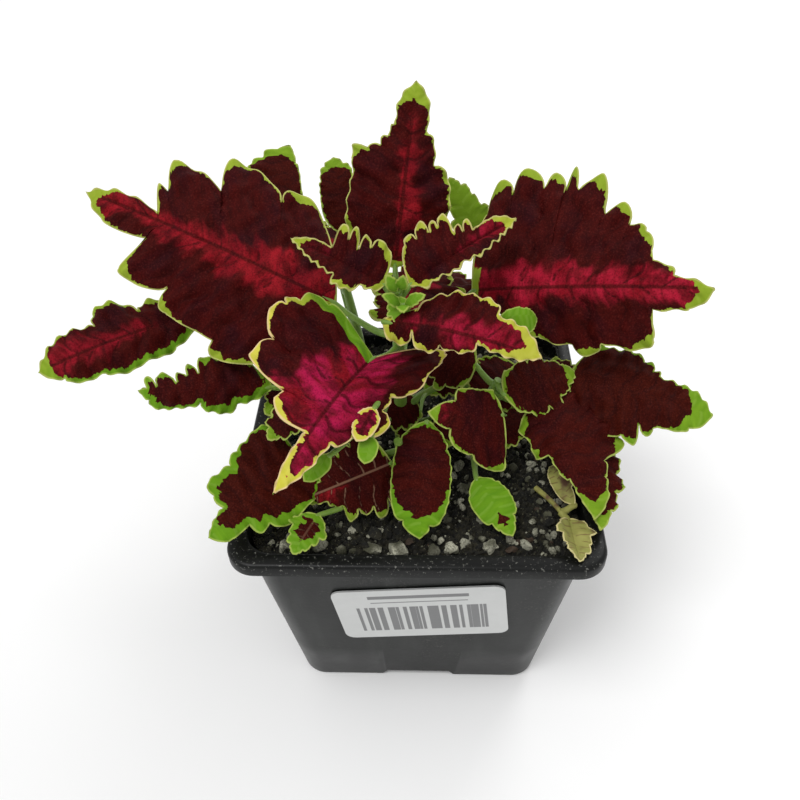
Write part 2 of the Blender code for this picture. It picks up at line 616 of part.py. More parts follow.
def leaf_object(leaf):
    """One leaf blade as a closed object: the same triangles on both faces and a rim between them."""
    blade = Blade(leaf)
    bm = bmesh.new()

    def pair(point, up):
        half = up * (BLADE / 2)
        return bm.verts.new((point + half) * MM), bm.verts.new((point - half) * MM)

    spine = [(s, pair(blade.midrib(s), blade.face)) for s in MIDRIB_PLACES]
    for hand in (1, -1):
        _, up = blade.directions(hand)
        points = blade.margins[hand]

        def row(places):
            return [spine[0], *((s, pair(blade.point(s, v, hand), up)) for s, v in places), spine[-1]]

        middle = row(middle_row(points))
        margin = row([(s, 1) for s in margin_places(points)[1:-1]])
        for corners in strip(spine, middle) + strip(middle, margin):
            bm.faces.new([corner[0] for corner in corners])
            bm.faces.new([corner[1] for corner in reversed(corners)])
        for (_, here), (_, after) in zip(margin, margin[1:]):
            bm.faces.new((here[0], here[1], after[1]))
            bm.faces.new((here[0], after[1], after[0]))
    return bpy.data.objects.new(leaf.name, mesh_from_bmesh(leaf.name, bm))


def tube_object(name, path, radii, sides):
    """A closed tube through points in millimetres, its radius going from first to last."""
    bm = bmesh.new()
    points = [Vector(point) for point in path]
    rings = []
    side = None
    for k, point in enumerate(points):
        ahead = (points[min(k + 1, len(points) - 1)] - points[max(k - 1, 0)]).normalized()
        if side is None:
            side = ahead.orthogonal().normalized()
        side = (side - ahead * side.dot(ahead)).normalized()
        other = ahead.cross(side)
        radius = radii[0] + (radii[1] - radii[0]) * k / (len(points) - 1)
        rings.append([point + (side * math.cos(math.tau * n / sides)
                               + other * math.sin(math.tau * n / sides)) * radius for n in range(sides)])
    loft(bm, rings)
    return bpy.data.objects.new(name, mesh_from_bmesh(name, bm))


def on_path(path, height):
    """The point of a rising path at one height."""
    for low, high in zip(path, path[1:]):
        if height <= high[2]:
            break
    share = (height - low[2]) / (high[2] - low[2])
    return Vector(low).lerp(Vector(high), share)


def stalk_object(stem, leaf):
    """The leaf's stalk: from the stem's middle in a slack arc to the blade, and on along its midrib."""
    blade = Blade(leaf)
    start = on_path(stem.path, leaf.node)
    end = blade.midrib(.02)
    length = (end - start).length
    arc = [start.lerp(end, along) - Vector((0, 0, sag * length)) for along, sag in STALK_SAG]
    path = [start, *arc, end, blade.midrib(STALK_REACH)]
    radii = [STALK_RADIUS * share for share in STALK_TAPER]
    return tube_object(leaf.name + "_stalk", path, radii, STALK_SIDES)


def make_leafy_stem(stem, finish_name="coleus_leaf"):
    """One leafy stem: its leaves and stalks are joined to it in one body."""
    item = tube_object(stem.name, stem.path, stem.radii, STEM_SIDES)
    bpy.context.scene.collection.objects.link(item)
    item.data.materials.append(finish(finish_name))
    repeats = bpy.data.collections.new(stem.name + "_leaves")
    bpy.context.scene.collection.children.link(repeats)
    for leaf in stem.leaves:
        repeats.objects.link(leaf_object(leaf))
        repeats.objects.link(stalk_object(stem, leaf))
    join = item.modifiers.new("join", "BOOLEAN")
    join.operation = "UNION"
    join.solver = "MANIFOLD"
    join.operand_type = "COLLECTION"
    join.collection = repeats
    apply_modifiers(item)
    for extra in list(repeats.objects):
        bpy.data.objects.remove(extra, do_unlink=True)
    bpy.data.collections.remove(repeats)
    return item


def main():
    """Builds the potted plant from the ground up."""
    clear_scene()
    make_pot()
    make_potting_mix(STEMS)
    make_label()
    for stem in STEMS:
        make_leafy_stem(stem)
    make_leafy_stem(DRY_LEAF, "dry_leaf")


main()
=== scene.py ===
# %% [markdown]
# # A young coleus in its nursery pot
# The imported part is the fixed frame: a square pot, the potting mix, a label, six leafy stems and a
# fallen leaf. This lesson dresses it. Every blade is worked out again on a fine grid from the same
# outline points as the solids, and its colours follow the blade: a flame of crimson along the
# midrib, velvet maroon beyond it, and a green or cream rim at each tooth.

# %% Load the frame
import math
from collections import namedtuple

import bpy
import numpy as np
from mathutils import Matrix, Vector


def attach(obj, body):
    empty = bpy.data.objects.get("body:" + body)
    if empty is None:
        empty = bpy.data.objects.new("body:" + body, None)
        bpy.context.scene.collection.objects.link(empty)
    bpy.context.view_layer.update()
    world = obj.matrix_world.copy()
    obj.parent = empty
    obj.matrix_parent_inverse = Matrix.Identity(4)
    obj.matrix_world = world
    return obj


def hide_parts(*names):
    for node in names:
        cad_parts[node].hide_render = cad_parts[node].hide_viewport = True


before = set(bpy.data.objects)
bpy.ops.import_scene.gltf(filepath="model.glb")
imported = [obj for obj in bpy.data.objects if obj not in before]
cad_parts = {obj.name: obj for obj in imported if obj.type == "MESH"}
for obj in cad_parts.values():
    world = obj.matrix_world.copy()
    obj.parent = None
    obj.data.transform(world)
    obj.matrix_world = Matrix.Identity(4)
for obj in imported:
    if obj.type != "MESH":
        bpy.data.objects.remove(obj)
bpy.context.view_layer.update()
MM = 0.001
print("nodes:", sorted(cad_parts))

# %% [markdown]
# The photograph looks down on the plant from the front, from about a quarter of a metre away. A
# camera can be aimed by eye, but then every render differs a little from the picture. This one was
# fitted to the pot's edges, whose real size is known. It is turned a little in its own plane, so
# its three axes are worked out and written into a matrix.

# %% Camera
CAMERA_PLACE = (3.5, -176.1, 256.1)     # mm
CAMERA_DOWN, CAMERA_TURN, CAMERA_ROLL = (math.radians(a) for a in (43.22, 2.82, 1.73))
FOCAL_SHARE = 818 / 800     # focal length over the picture's width
SENSOR = 36.0

across = Vector((math.cos(CAMERA_TURN), math.sin(CAMERA_TURN), 0))
ahead_flat = Vector((-math.sin(CAMERA_TURN), math.cos(CAMERA_TURN), 0))
ahead = ahead_flat * math.cos(CAMERA_DOWN) - Vector((0, 0, math.sin(CAMERA_DOWN)))
above = ahead_flat * math.sin(CAMERA_DOWN) + Vector((0, 0, math.cos(CAMERA_DOWN)))
right = across * math.cos(CAMERA_ROLL) - above * math.sin(CAMERA_ROLL)
up = across * math.sin(CAMERA_ROLL) + above * math.cos(CAMERA_ROLL)

lens = bpy.data.cameras.new("photo_camera")
lens.sensor_width = SENSOR
lens.lens = SENSOR * FOCAL_SHARE
lens.clip_start = 0.01
camera = bpy.data.objects.new("photo_camera", lens)
bpy.context.scene.collection.objects.link(camera)
camera.matrix_world = Matrix.Translation(Vector(CAMERA_PLACE) * MM) @ Matrix(
    (right, up, -ahead)).transposed().to_4x4()
bpy.context.scene.camera = camera
print("lens: %.1f mm" % lens.lens)

# %% [markdown]
# The light is that of a photograph on white paper: an even white surround, a sun so wide that its
# shadows are soft, from the front left and above, and a small weak lamp behind the plant that draws
# an edge on the velvet. Area lamps alone would light the leaves near them more than the far ones,
# which a sun doesn't. The Standard view keeps the colours as they are, with no curve like a film's.

# %% Light
WORLD_LIGHT = 0.68
SUN_FROM = (-.35, -.3, 1.0)
SUN_STRENGTH = 1.25
SUN_WIDTH = 28              # degrees across: the size of a softbox seen from the plant
BACK_LAMP_PLACE = (0.3, 0.45, 0.6)
BACK_LAMP_SIZE = 0.3
BACK_LAMP_WATTS = 1.2
PLANT_MIDDLE = (0, 0, .09)


def add_light(light, turn, place=(0, 0, 0)):
    """Puts a light into the scene. It shines along its own -Z axis."""
    item = bpy.data.objects.new(light.name, light)
    item.location = place
    item.rotation_euler = turn.to_euler()
    bpy.context.scene.collection.objects.link(item)


lamp = bpy.data.lights.new("back", "AREA")
lamp.energy = BACK_LAMP_WATTS
lamp.size = BACK_LAMP_SIZE
to_plant = Vector(PLANT_MIDDLE) - Vector(BACK_LAMP_PLACE)
add_light(lamp, to_plant.to_track_quat("-Z", "Y"), BACK_LAMP_PLACE)
sun = bpy.data.lights.new("key", "SUN")
sun.energy = SUN_STRENGTH
sun.angle = math.radians(SUN_WIDTH)
add_light(sun, Vector(SUN_FROM).to_track_quat("Z", "Y"))
world = bpy.data.worlds.new("white_surround")
world.use_nodes = True
world.node_tree.nodes["Background"].inputs["Color"].default_value = (1, 1, 1, 1)
world.node_tree.nodes["Background"].inputs["Strength"].default_value = WORLD_LIGHT
bpy.context.scene.world = world
bpy.context.scene.view_settings.view_transform = "Standard"
print("lights: a sun %d degrees wide and a lamp %.1f m from the plant" % (SUN_WIDTH, to_plant.length))

# %% [markdown]
# Materials are node trees. They can be drawn by hand in the Shader Editor, but a script has to say
# every link. Small helpers keep that short: one adds a node and sets its inputs, a few do arithmetic
# on masks, and one mixes two colours by a mask. A tree is then written as nested calls, from the
# noise inside to the colour outside.

# %% Helpers for materials


def new_material(name):
    """An empty material with its Principled shader."""
    material = bpy.data.materials.new(name)
    material.use_nodes = True
    return material, material.node_tree, material.node_tree.nodes["Principled BSDF"]


def node(tree, kind, inputs=None, **settings):
    """Adds a node, sets its properties and inputs, and links inputs that are sockets."""
    item = tree.nodes.new("ShaderNode" + kind)
    for key, value in settings.items():
        setattr(item, key, value)
    for key, value in (inputs or {}).items():
        if isinstance(value, bpy.types.NodeSocket):
            tree.links.new(value, item.inputs[key])
        else:
            item.inputs[key].default_value = value
    return item


def math_node(tree, operation, a, b=0.0, c=0.0, clamp=False):
    """One arithmetic step."""
    return node(tree, "Math", {0: a, 1: b, 2: c}, operation=operation, use_clamp=clamp).outputs[0]


def times(tree, a, b):
    """The product of two masks."""
    return math_node(tree, "MULTIPLY", a, b)


def at_least(tree, mask, least):
    """A mask from 0 to 1 lifted so that it goes from least to 1."""
    return math_node(tree, "MULTIPLY_ADD", mask, 1 - least, least)


def rest_of(tree, mask):
    """1 less the mask."""
    return math_node(tree, "SUBTRACT", 1.0, mask)


def mix_colour(tree, mask, a, b):
    """Colour a where the mask is 0, colour b where it is 1."""
    item = node(tree, "Mix", data_type="RGBA")
    for socket, value in ((item.inputs[0], mask), (item.inputs[6], a), (item.inputs[7], b)):
        if isinstance(value, bpy.types.NodeSocket):
            tree.links.new(value, socket)
        else:
            socket.default_value = (*value, 1) if isinstance(value, tuple) else value
    return item.outputs[2]


print("helpers for node trees are ready")

# %% [markdown]
# A pattern starts from something that differs from place to place: the point itself, a noise on it,
# or a number that the mesh carries. A smooth step turns such a value into a mask with a border. All
# materials here end in the same way, with a colour, a bump and a roughness. The Generated and camera
# coordinates are left out, because a pattern on them slides when a piece or the view moves.

# %% Patterns and finish


def carried(tree, name):
    """A number that each point of the mesh carries."""
    return node(tree, "Attribute", attribute_name="leaf_" + name).outputs["Fac"]


def ramp(tree, value, low, high):
    """A smooth step from 0 at low to 1 at high."""
    return node(tree, "MapRange", {"Value": value, "From Min": low, "From Max": high},
                interpolation_type="SMOOTHSTEP").outputs["Result"]


def noise(tree, vector, scale, detail=3.0, roughness=.55):
    """Cloudy noise from 0 to 1."""
    return node(tree, "TexNoise", {"Vector": vector, "Scale": scale, "Detail": detail,
                                   "Roughness": roughness}).outputs["Fac"]


def stretched(tree, vector, scale):
    """A vector whose three parts are scaled apart, so that a noise on it is drawn out."""
    return node(tree, "Mapping", {"Vector": vector, "Scale": scale}).outputs[0]


def place_of(tree):
    """The point of the surface, in metres."""
    return node(tree, "TexCoord").outputs["Object"]


def finish_shader(tree, shader, colour, height, strength, distance, roughness):
    """Links the colour and a bump from a height, and sets or links the roughness."""
    tree.links.new(colour, shader.inputs["Base Color"])
    bump = node(tree, "Bump", {"Height": height, "Strength": strength, "Distance": distance})
    tree.links.new(bump.outputs[0], shader.inputs["Normal"])
    if isinstance(roughness, bpy.types.NodeSocket):
        tree.links.new(roughness, shader.inputs["Roughness"])
    else:
        shader.inputs["Roughness"].default_value = roughness


print("helpers for patterns are ready")

# %% [markdown]
# The floor is one large square of matt white paper, a little cloudy so that it isn't one flat
# colour. A curved backdrop isn't needed, because the photograph's camera looks down and never sees
# the paper's far edge.

# %% Floor
FLOOR_SIZE = 6.0            # metres
FLOOR_CLOUDS = 9            # clouds in a metre
FLOOR_DARK, FLOOR_LIGHT = (.93, .93, .93), (.96, .96, .96)
floor_material, tree, shader = new_material("pale_floor")
shader.inputs["Roughness"].default_value = .9
shader.inputs["Specular IOR Level"].default_value = .1
tree.links.new(mix_colour(tree, noise(tree, place_of(tree), FLOOR_CLOUDS), FLOOR_DARK, FLOOR_LIGHT),
               shader.inputs["Base Color"])
half = FLOOR_SIZE / 2
floor_mesh = bpy.data.meshes.new("floor")
floor_mesh.from_pydata([(-half, -half, 0), (half, -half, 0), (half, half, 0), (-half, half, 0)], [],
                       [(0, 1, 2, 3)])
floor_mesh.materials.append(floor_material)
floor = bpy.data.objects.new("floor", floor_mesh)
bpy.context.scene.collection.objects.link(floor)
print("floor: %.0f m square" % FLOOR_SIZE)

# %% [markdown]
# ## How a blade is described
# A leaf is a midrib from base to tip and, on each side, a row of points (share of the midrib,
# distance from it in millimetres), one at every notch and every tip of a tooth. This is how a
# botanist would draw a leaf, and it needs about ten pairs of numbers where a mesh needs thousands.
# The teeth slant forward, and each half folds down from the midrib. The solids were drawn from the
# same table, so each fine blade lies where its coarse one does.

# %% The leaves
Side = namedtuple("Side", "margin lean fold")
Leaf = namedtuple("Leaf", "name base tip face left right hump wave node")
Stem = namedtuple("Stem", "name path radii leaves")
Kind = namedtuple("Kind", "profile teeth cut reach")
KINDS = {
    "toothed": Kind(((0, 0), (.03, .5), (.1, .88), (.22, 1), (.38, .94), (.52, .78), (.64, .52),
                     (.72, .34), (.8, .29), (.9, .18), (1, 0)), 5, .26, .74),
    "small": Kind(((0, 0), (.06, .55), (.22, 1), (.5, .9), (.72, .58), (.88, .28), (1, 0)), 4, .2, .8),
}


def even(kind, width_left, width_right, lean, fold=12):
    """Both sides of an ordinary leaf."""
    return Side((kind, width_left), lean, fold), Side((kind, width_right), lean, fold)


STEMS = (
    Stem("leafy_stem_centre", ((-5, -1, 54), (-5, -1, 80), (-5, -2, 110), (-5, -3, 133)), (2.3, 1.4), (
        Leaf("big_left", (-22, 5, 122), (-94, 31, 142), (.1, -.6, .8),
             Side(((.06, 17), (.11, 22.5), (.24, 28.5), (.27, 24), (.43, 23), (.49, 16), (.58, 19),
                   (.65, 16.5), (.67, 5.5), (.77, 7)), (.1, .7), 16),
             Side(((.16, 27), (.23, 21), (.38, 28.5), (.44, 16), (.61, 20), (.64, 9.5), (.67, 10.5),
                   (.69, 1.5), (.82, 4)), (.3, .9), 12), .05, 1.6, 116),
        Leaf("big_right", (15, 11, 122), (74, -8, 136), (-.1, -.62, .78),
             Side(((.05, 23.5), (.11, 33), (.15, 28.5), (.21, 35), (.26, 27), (.29, 34), (.33, 28),
                   (.35, 35), (.38, 25.5), (.45, 31.5), (.49, 19), (.54, 23.5), (.59, 17.5), (.66, 15),
                   (.71, 7), (.83, 3)), (-.1, .5), 6),
             Side(((.19, 8.5), (.25, 14.5), (.37, 16.5), (.43, 19.5), (.49, 15.5), (.6, 17.5),
                   (.69, 14), (.71, 6.5), (.87, 5.5)), (.1, .5), 36), .05, 1.6, 116),
        Leaf("back_top", (-6, 10, 130), (0, 33, 172), (0, -.75, .65),
             Side(((.16, 15.5), (.38, 15), (.47, 15), (.53, 15.5), (.56, 11), (.6, 8), (.66, 6),
                   (.73, 4.5), (.8, 4.5)), (.1, .5), 14),
             Side(((.3, 13), (.53, 7.5), (.7, 4.5), (.81, 4.5)), (.1, .5), 14), .04, 1.2, 122),
        Leaf("inner_left", (-8, -2, 133), (-32, 3, 144), (.2, -.5, .85),
             Side(((.04, 3.5), (.2, 5), (.36, 9.5), (.45, 6)), (.1, .3), -24),
             Side(((.04, 8), (.18, 9.5), (.24, 7), (.31, 9.5), (.35, 5), (.42, 9.5), (.46, 6),
                   (.53, 9.5), (.59, 2), (.72, 2.5)), (.1, .3), -16), .04, .8, 129),
        Leaf("inner_right", (-2, -2, 133), (26, 12, 144), (-.2, -.5, .85),
             Side(((.1, 9), (.16, 11), (.2, 9), (.26, 12.5), (.31, 8.5), (.34, 10.5), (.38, 8.5),
                   (.44, 11), (.48, 5), (.52, 6.5), (.55, 4), (.6, 6.5), (.63, 3), (.77, 3.5)),
                  (.1, .4), -16),
             Side(((.11, 5), (.2, 5), (.45, 5.5), (.78, 3)), (.1, .3), -24), .04, .8, 129),
        Leaf("bud_front", (-4.6, -4.5, 131.5), (-4, -10.5, 126), (0, -.8, .6),
             *even("small", 3.5, 3.5, (.1, .3), 10), .06, 0.3, 130),
        Leaf("front_right", (-9, -8, 126), (32, -17, 121), (0, -.6, .8),
             Side(((.19, 4.5), (.32, 10.5), (.51, 12), (.65, 7.5), (.76, 7)), (.1, .3), 14),
             Side(((.08, 5.5), (.16, 6), (.2, 2), (.26, 7), (.37, 4.5), (.46, 5.5), (.6, 1.5),
                   (.8, 3)), (.1, .3), 40), .14, 1.0, 123),
        Leaf("front_left", (-11, -13, 118), (-33, -53, 110), (-.1, -.45, .9),
             Side(((.1, 16), (.17, 18), (.31, 15.5), (.33, 12), (.4, 12.5), (.48, 16.5), (.51, 13.5),
                   (.55, 9.5), (.62, 6)), (-1.6, .9), 42),
             Side(((.07, 17.5), (.16, 24.5), (.2, 27.5), (.23, 25.5), (.26, 27.5), (.36, 22),
                   (.45, 24.5), (.52, 11), (.56, 12), (.65, 1), (.79, 1.5)), (-.6, .6), -12),
             .10, 1.5, 113),
        Leaf("back_low", (-3, 15, 108), (3, 52, 108), (0, .2, 1),
             *even("toothed", 15, 15, (.1, .3), 14), .08, 1.2, 104),
    )),
    Stem("leafy_stem_right", ((14, -3, 54), (14, -3, 76), (18, -4, 90), (23, -4, 102)), (1.8, 1.2), (
        Leaf("far_right", (43, 0, 100), (80, -16, 100), (0, -.5, .85),
             Side(((.1, 13), (.41, 11), (.5, 8.5), (.56, 6.5), (.73, 6)), (.1, .4), 12),
             Side(((.27, 14), (.39, 13), (.46, 14.5), (.5, 8.5), (.54, 11), (.59, 8), (.82, 5.5)),
                  (.1, .5), 12), .06, 1.2, 101),
        Leaf("mid_right", (34, -8, 97), (47, -40, 85), (.1, -.6, .8),
             Side(((.09, 8.5), (.2, 16), (.29, 20), (.32, 16.5), (.37, 22), (.42, 15.5), (.56, 18),
                   (.6, 10), (.71, 8)), (-.8, .5), 14),
             Side(((.12, 8.5), (.22, 8), (.37, 8), (.42, 4.5), (.66, 2)), (0, .3), 30), .08, 1.2, 98),
        Leaf("centre_right", (24, -14, 98), (3, -18, 103), (0, -.7, .7),
             Side(((.08, 12), (.14, 16), (.41, 11.5), (.69, 4.5)), (-.3, .3), 10),
             Side(((.15, 7), (.51, 7), (.63, 3.5)), (.1, .3), 10), .08, 1.0, 97),
        Leaf("low_right", (50, -10, 88), (49, -41, 82), (.2, -.5, .8),
             *even("small", 8, 8, (.1, .3), 10), .08, 1.0, 92),
        Leaf("dark_right", (24, -9, 101), (45, 1, 101), (0, -.5, .8),
             *even("small", 9, 10, (.1, .3), 10), .08, 1.0, 101),
        Leaf("dark_centre", (17, 0, 104), (1, 6, 101), (-.1, -.5, .8),
             *even("small", 9, 9, (.1, .3), 10), .08, 1.0, 100),
        Leaf("green_small", (16.5, -24.5, 84), (26, -41, 79), (0, -.5, .85),
             Side(((.16, 4.2), (.4, 5.8), (.7, 3.4), (.82, 2.4)), (.1, .3), 10),
             Side(((.16, 4.2), (.36, 5.6), (.68, 3.2), (.82, 2.2)), (.1, .3), 10), .06, 0.4, 83),
    )),
    Stem("leafy_stem_left", ((-19, 2, 54), (-19, 2, 76), (-24, 2, 90), (-28, 3, 102)), (1.8, 1.2), (
        Leaf("far_left", (-65, 18, 109), (-106, -7, 107), (0, -.5, .85),
             Side(((.2, 8), (.52, 10), (.62, 8.5), (.85, 5)), (.1, .3), 12),
             Side(((.14, 5.5), (.2, 10), (.31, 7), (.43, 13.5), (.53, 11.5), (.57, 7), (.72, 8.5)),
                  (.1, .4), 12), .06, 1.2, 101),
        Leaf("low_left", (-41, -5, 100), (-77, -12, 105), (0, -.5, .85),
             Side(((.25, 5.5), (.34, 8.5), (.52, 5), (.68, 6.5), (.82, 6), (.9, 3)), (.1, .3), 40),
             Side(((.21, 8), (.45, 9), (.52, 4), (.56, 7), (.61, 3.5), (.65, 4.5), (.7, 1.5),
                   (.77, 4.5), (.85, 1), (.89, 4), (.93, .5)), (.1, .5), 6), .06, .8, 96),
        Leaf("dark_left", (-29, -12, 102), (-40, -24, 98), (0, -.5, .85),
             *even("small", 6, 7, (.1, .3)), .06, 0.8, 93),
    )),
    Stem("leafy_stem_front", ((-4, -19, 54), (-4, -19, 76), (-4, -21, 88), (-5, -23, 97)), (1.7, 1.1), (
        Leaf("front_low_left", (-33, -23, 91.5), (-54, -47, 85), (0, -.6, .8),
             Side(((.05, 7), (.23, 12.5), (.45, 13), (.58, 9), (.65, 9.5), (.69, 5.5), (.84, 5)),
                  (-.4, .3), 12),
             Side(((.06, 10), (.21, 13.5), (.36, 12.5), (.46, 10.5), (.6, 11.5), (.69, 7), (.73, 3)),
                  (-.4, .5), 12), .08, 1.2, 92),
        Leaf("veined_front", (-6.5, -26, 91.5), (-31, -32, 83), (0, -.7, .7),
             *even("toothed", 13, 12, (.1, .3)), .06, 1.0, 89),
        Leaf("front_middle", (3, -16, 98), (1, -43, 80), (.05, -.75, .66),
             Side(((.22, 6), (.49, 7.5), (.87, 2.5)), (.1, .3), 10),
             Side(((.16, 7), (.5, 9), (.82, 5)), (.1, .3), 10), .10, 0.6, 94),
        Leaf("front_small", (-26, -38, 84), (-32, -49, 81), (0, -.5, .85),
             *even("small", 5, 6, (.1, .3), 10), .06, 0.4, 82),
    )),
    Stem("leafy_stem_back_left",
         ((-16, 20, 54), (-16, 20, 76), (-20, 28, 98), (-24, 34, 114)), (1.9, 1.2), (
        Leaf("back_left_tip", (-37, 38, 118), (-40, 63, 140), (0, -.7, .7),
             Side(((.3, 13), (.6, 15), (.85, 9.5), (.95, 4.5)), (.1, .3), 12),
             Side(((.3, 3), (.8, 1.5)), (.1, .3), 12), .06, 0.8, 113),
        Leaf("back_small", (-22, 42, 120), (-26, 57, 139), (0, -.7, .7),
             Side(((.3, 6.5), (.67, 5.5), (.87, 3.5)), (.1, .3), 12),
             Side(((.3, 5), (.62, 4), (.73, 5), (.88, 2.5)), (.1, .3), 12), .06, 0.8, 113),
        Leaf("behind_left", (-37, 43, 105), (-75, 60, 99), (-.3, .3, 1),
             *even("toothed", 14, 14, (.1, .4)), .10, 1.2, 100),
        Leaf("behind_left_low", (-26, 48, 98), (-38, 87, 88), (-.1, .4, 1),
             *even("toothed", 14, 14, (.1, .4)), .10, 1.2, 94),
        Leaf("behind_left_high", (-29, 47, 111), (-52, 76, 107), (-.2, .4, 1),
             *even("toothed", 11, 11, (.1, .4)), .12, 1.0, 106),
    )),
    Stem("leafy_stem_back_right",
         ((15, 20, 54), (15, 20, 76), (18, 27, 98), (20, 32, 114)), (1.9, 1.2), (
        Leaf("back_right_tip", (19, 38, 122), (9, 42, 140), (0, -.7, .5),
             *even("small", 6, 6, (.1, .3)), .06, 0.8, 113),
        Leaf("behind_right", (27, 47, 104), (46, 84, 95), (.2, .4, 1),
             *even("toothed", 14, 14, (.1, .4)), .10, 1.2, 99),
        Leaf("behind_far_right", (36, 34, 105), (76, 50, 99), (.4, .2, 1),
             *even("toothed", 14, 14, (.1, .4)), .10, 1.2, 102),
        Leaf("behind_middle", (14, 42, 94), (3, 76, 84), (-.1, .4, 1),
             *even("toothed", 12, 12, (.1, .4)), .10, 1.0, 90),
    )),
)

# A dry leaf that has dropped on the mix and the lip, with its stalk as its only stem.
DRY_LEAF = Stem("withered_leaf", ((34, -22, 76.8), (38, -28, 77.6), (41.5, -36, 79.3)), (.8, .6), (
    Leaf("dry_blade", (41.5, -35, 79.3), (42.8, -49, 79.1), (.2, .1, 1),
         Side(("small", 6), (.1, .3), -18), Side(("small", 6), (.1, .3), -30), -.02, .6, 78.5),
))
print("leaves:", sum(len(stem.leaves) for stem in STEMS))

# %% [markdown]
# The solids leave out what is too small or too hidden for them. These are young leaves round the
# tip, dark leaves low between the stems, curled lobes of larger leaves, and side shoots. They could
# be objects of their own, but they grow on the same stems, so they are rows of the same kind and
# become part of the same pieces.

# %% Small leaves that only the scene has
DARK_LEAF_FACE = (0, -.5, .85)
SLANT = (.1, .3)


def plain_side(*points, fold=10):
    """A side without teeth, through a few points."""
    return Side(points, SLANT, fold)


def dark_leaf(name, base, tip, width_left, width_right, wave, node_height):
    """A small toothed leaf low in the plant, that looks up and to the front."""
    return Leaf(name, base, tip, DARK_LEAF_FACE, *even("small", width_left, width_right, SLANT), .06,
                wave, node_height)


ROUND = plain_side((.12, 1.9), (.4, 3.1), (.72, 2.4))
OVAL = plain_side((.3, 2.6), (.65, 2.2))
BUD = plain_side((.35, 1.7), (.7, 1.2))
SMALL_LEAVES = {
    "leafy_stem_centre": (
        Leaf("apex_left", (-4, -6.5, 130), (-8.5, -9, 135), (.3, -.6, .8), BUD, BUD, .1, .3, 130),
        Leaf("apex_right", (-3, -6.5, 130), (2.5, -9, 135), (-.3, -.6, .8), BUD, BUD, .1, .3, 130),
        Leaf("apex_back", (-4, -4, 133), (-3, -7, 139.5), (0, -.8, .6), BUD, BUD, .1, .2, 132),
        Leaf("apex_front", (-3.5, -7, 130), (-3, -13, 132.5), (0, -.4, .9), BUD, BUD, .12, .2, 130),
        Leaf("apex_high", (-5, -5, 133), (-7.5, -6, 139), (.2, -.8, .5), BUD, BUD, .1, .2, 132),
        Leaf("curled_green", (21, -5, 123.5), (32, -2.5, 122.5), (-.1, -.55, .8), OVAL,
             plain_side((.2, 4), (.6, 4.5), fold=30), .3, .5, 118),
        Leaf("cream_lobe", (-10.2, -28.2, 114.4), (-14.4, -37.4, 111.6), (0, -.7, .7), ROUND, ROUND,
             .1, .2, 112),
        Leaf("lobe_behind", (-11, -33.5, 110), (-12.6, -39.6, 105.8), (0, -.8, .6), OVAL, OVAL,
             .1, .2, 108),
        Leaf("under_finger", (-21, -37.5, 107), (-27.6, -43, 103), (.1, -.6, .8), OVAL, OVAL,
             .1, .2, 106),
        dark_leaf("deep_centre", (11, 12, 94), (3, 1, 92), 8, 8, .8, 90),
        dark_leaf("deep_left", (-1, 1, 91), (-11, -8, 88), 8, 8, .8, 86),
        dark_leaf("deep_low", (1, -3, 85), (-2, -15, 80), 7, 7, .5, 80),
        dark_leaf("deep_middle", (12, 0, 88), (8, -13, 84), 7, 7, .5, 82),
    ),
    "leafy_stem_right": (
        dark_leaf("deep_right", (30, 9, 96), (15, -3, 93), 11, 10, .8, 92),
        dark_leaf("deep_far_right", (36, 6, 97), (50, 0, 93), 8, 8, .8, 94),
        dark_leaf("deep_low_right", (30, -2, 90), (24, -16, 86), 6, 6, .8, 84),
    ),
    "leafy_stem_left": (
        dark_leaf("deep_far_left", (-30, 6, 96), (-44, -8, 92), 8, 8, .8, 90),
    ),
    "withered_leaf": (
        Leaf("dry_scrap", (43.6, -31, 80), (37.6, -18.5, 82), (-.4, -.3, 1), OVAL,
             plain_side((.3, 2), (.7, 4)), .12, .8, 78.5),
    ),
}
SHOOTS = {     # the points and the radii at both ends
    "leafy_stem_centre": (
        (((12.5, 13, 98), (11, 8, 95.5), (6.5, 3.5, 93.5), (0, 0, 91), (-5, -2, 86)), (.7, 1.2)),
        (((18, 6, 98), (12, 4.5, 95), (6.5, 3.5, 93)), (.45, .8)),
        (((1, -7, 92.5), (1.5, -2, 92.5), (3, 2, 92)), (.45, .75)),
        (((-9, -9, 89), (-7, -4, 88), (-5, -2, 84)), (.6, 1.0)),
    ),
}
print("small leaves: %d, side shoots: %d" % tuple(
    sum(map(len, table.values())) for table in (SMALL_LEAVES, SHOOTS)))

# %% [markdown]
# ## The margin
# From a notch up to the next tooth's tip the margin rises as a quarter of a sine wave raised to a
# power under one, so teeth are full and notches are sharp. Straight lines would look cut with
# scissors, and a smooth spline would round the notches. An ordinary leaf gets even teeth.

# %% Margin
FULLNESS = (.75, .42, 1.0)  # at the base, along the margin and at the tip: lower is fuller
TOOTH_CREST = .6            # where an even tooth is highest, as a share of it
TOOTH_VARIETY = .12         # how much even teeth differ in height
TOOTH_BEAT = 2.4            # the angle by which that difference steps from tooth to tooth
STEEPNESS = .7              # how much a rise of the margin counts for the rows beside a run of it
CROWDING = 1.6              # how much the rows crowd towards a notch
CLOSEST = .0015             # rows nearer than this share of the midrib are one row


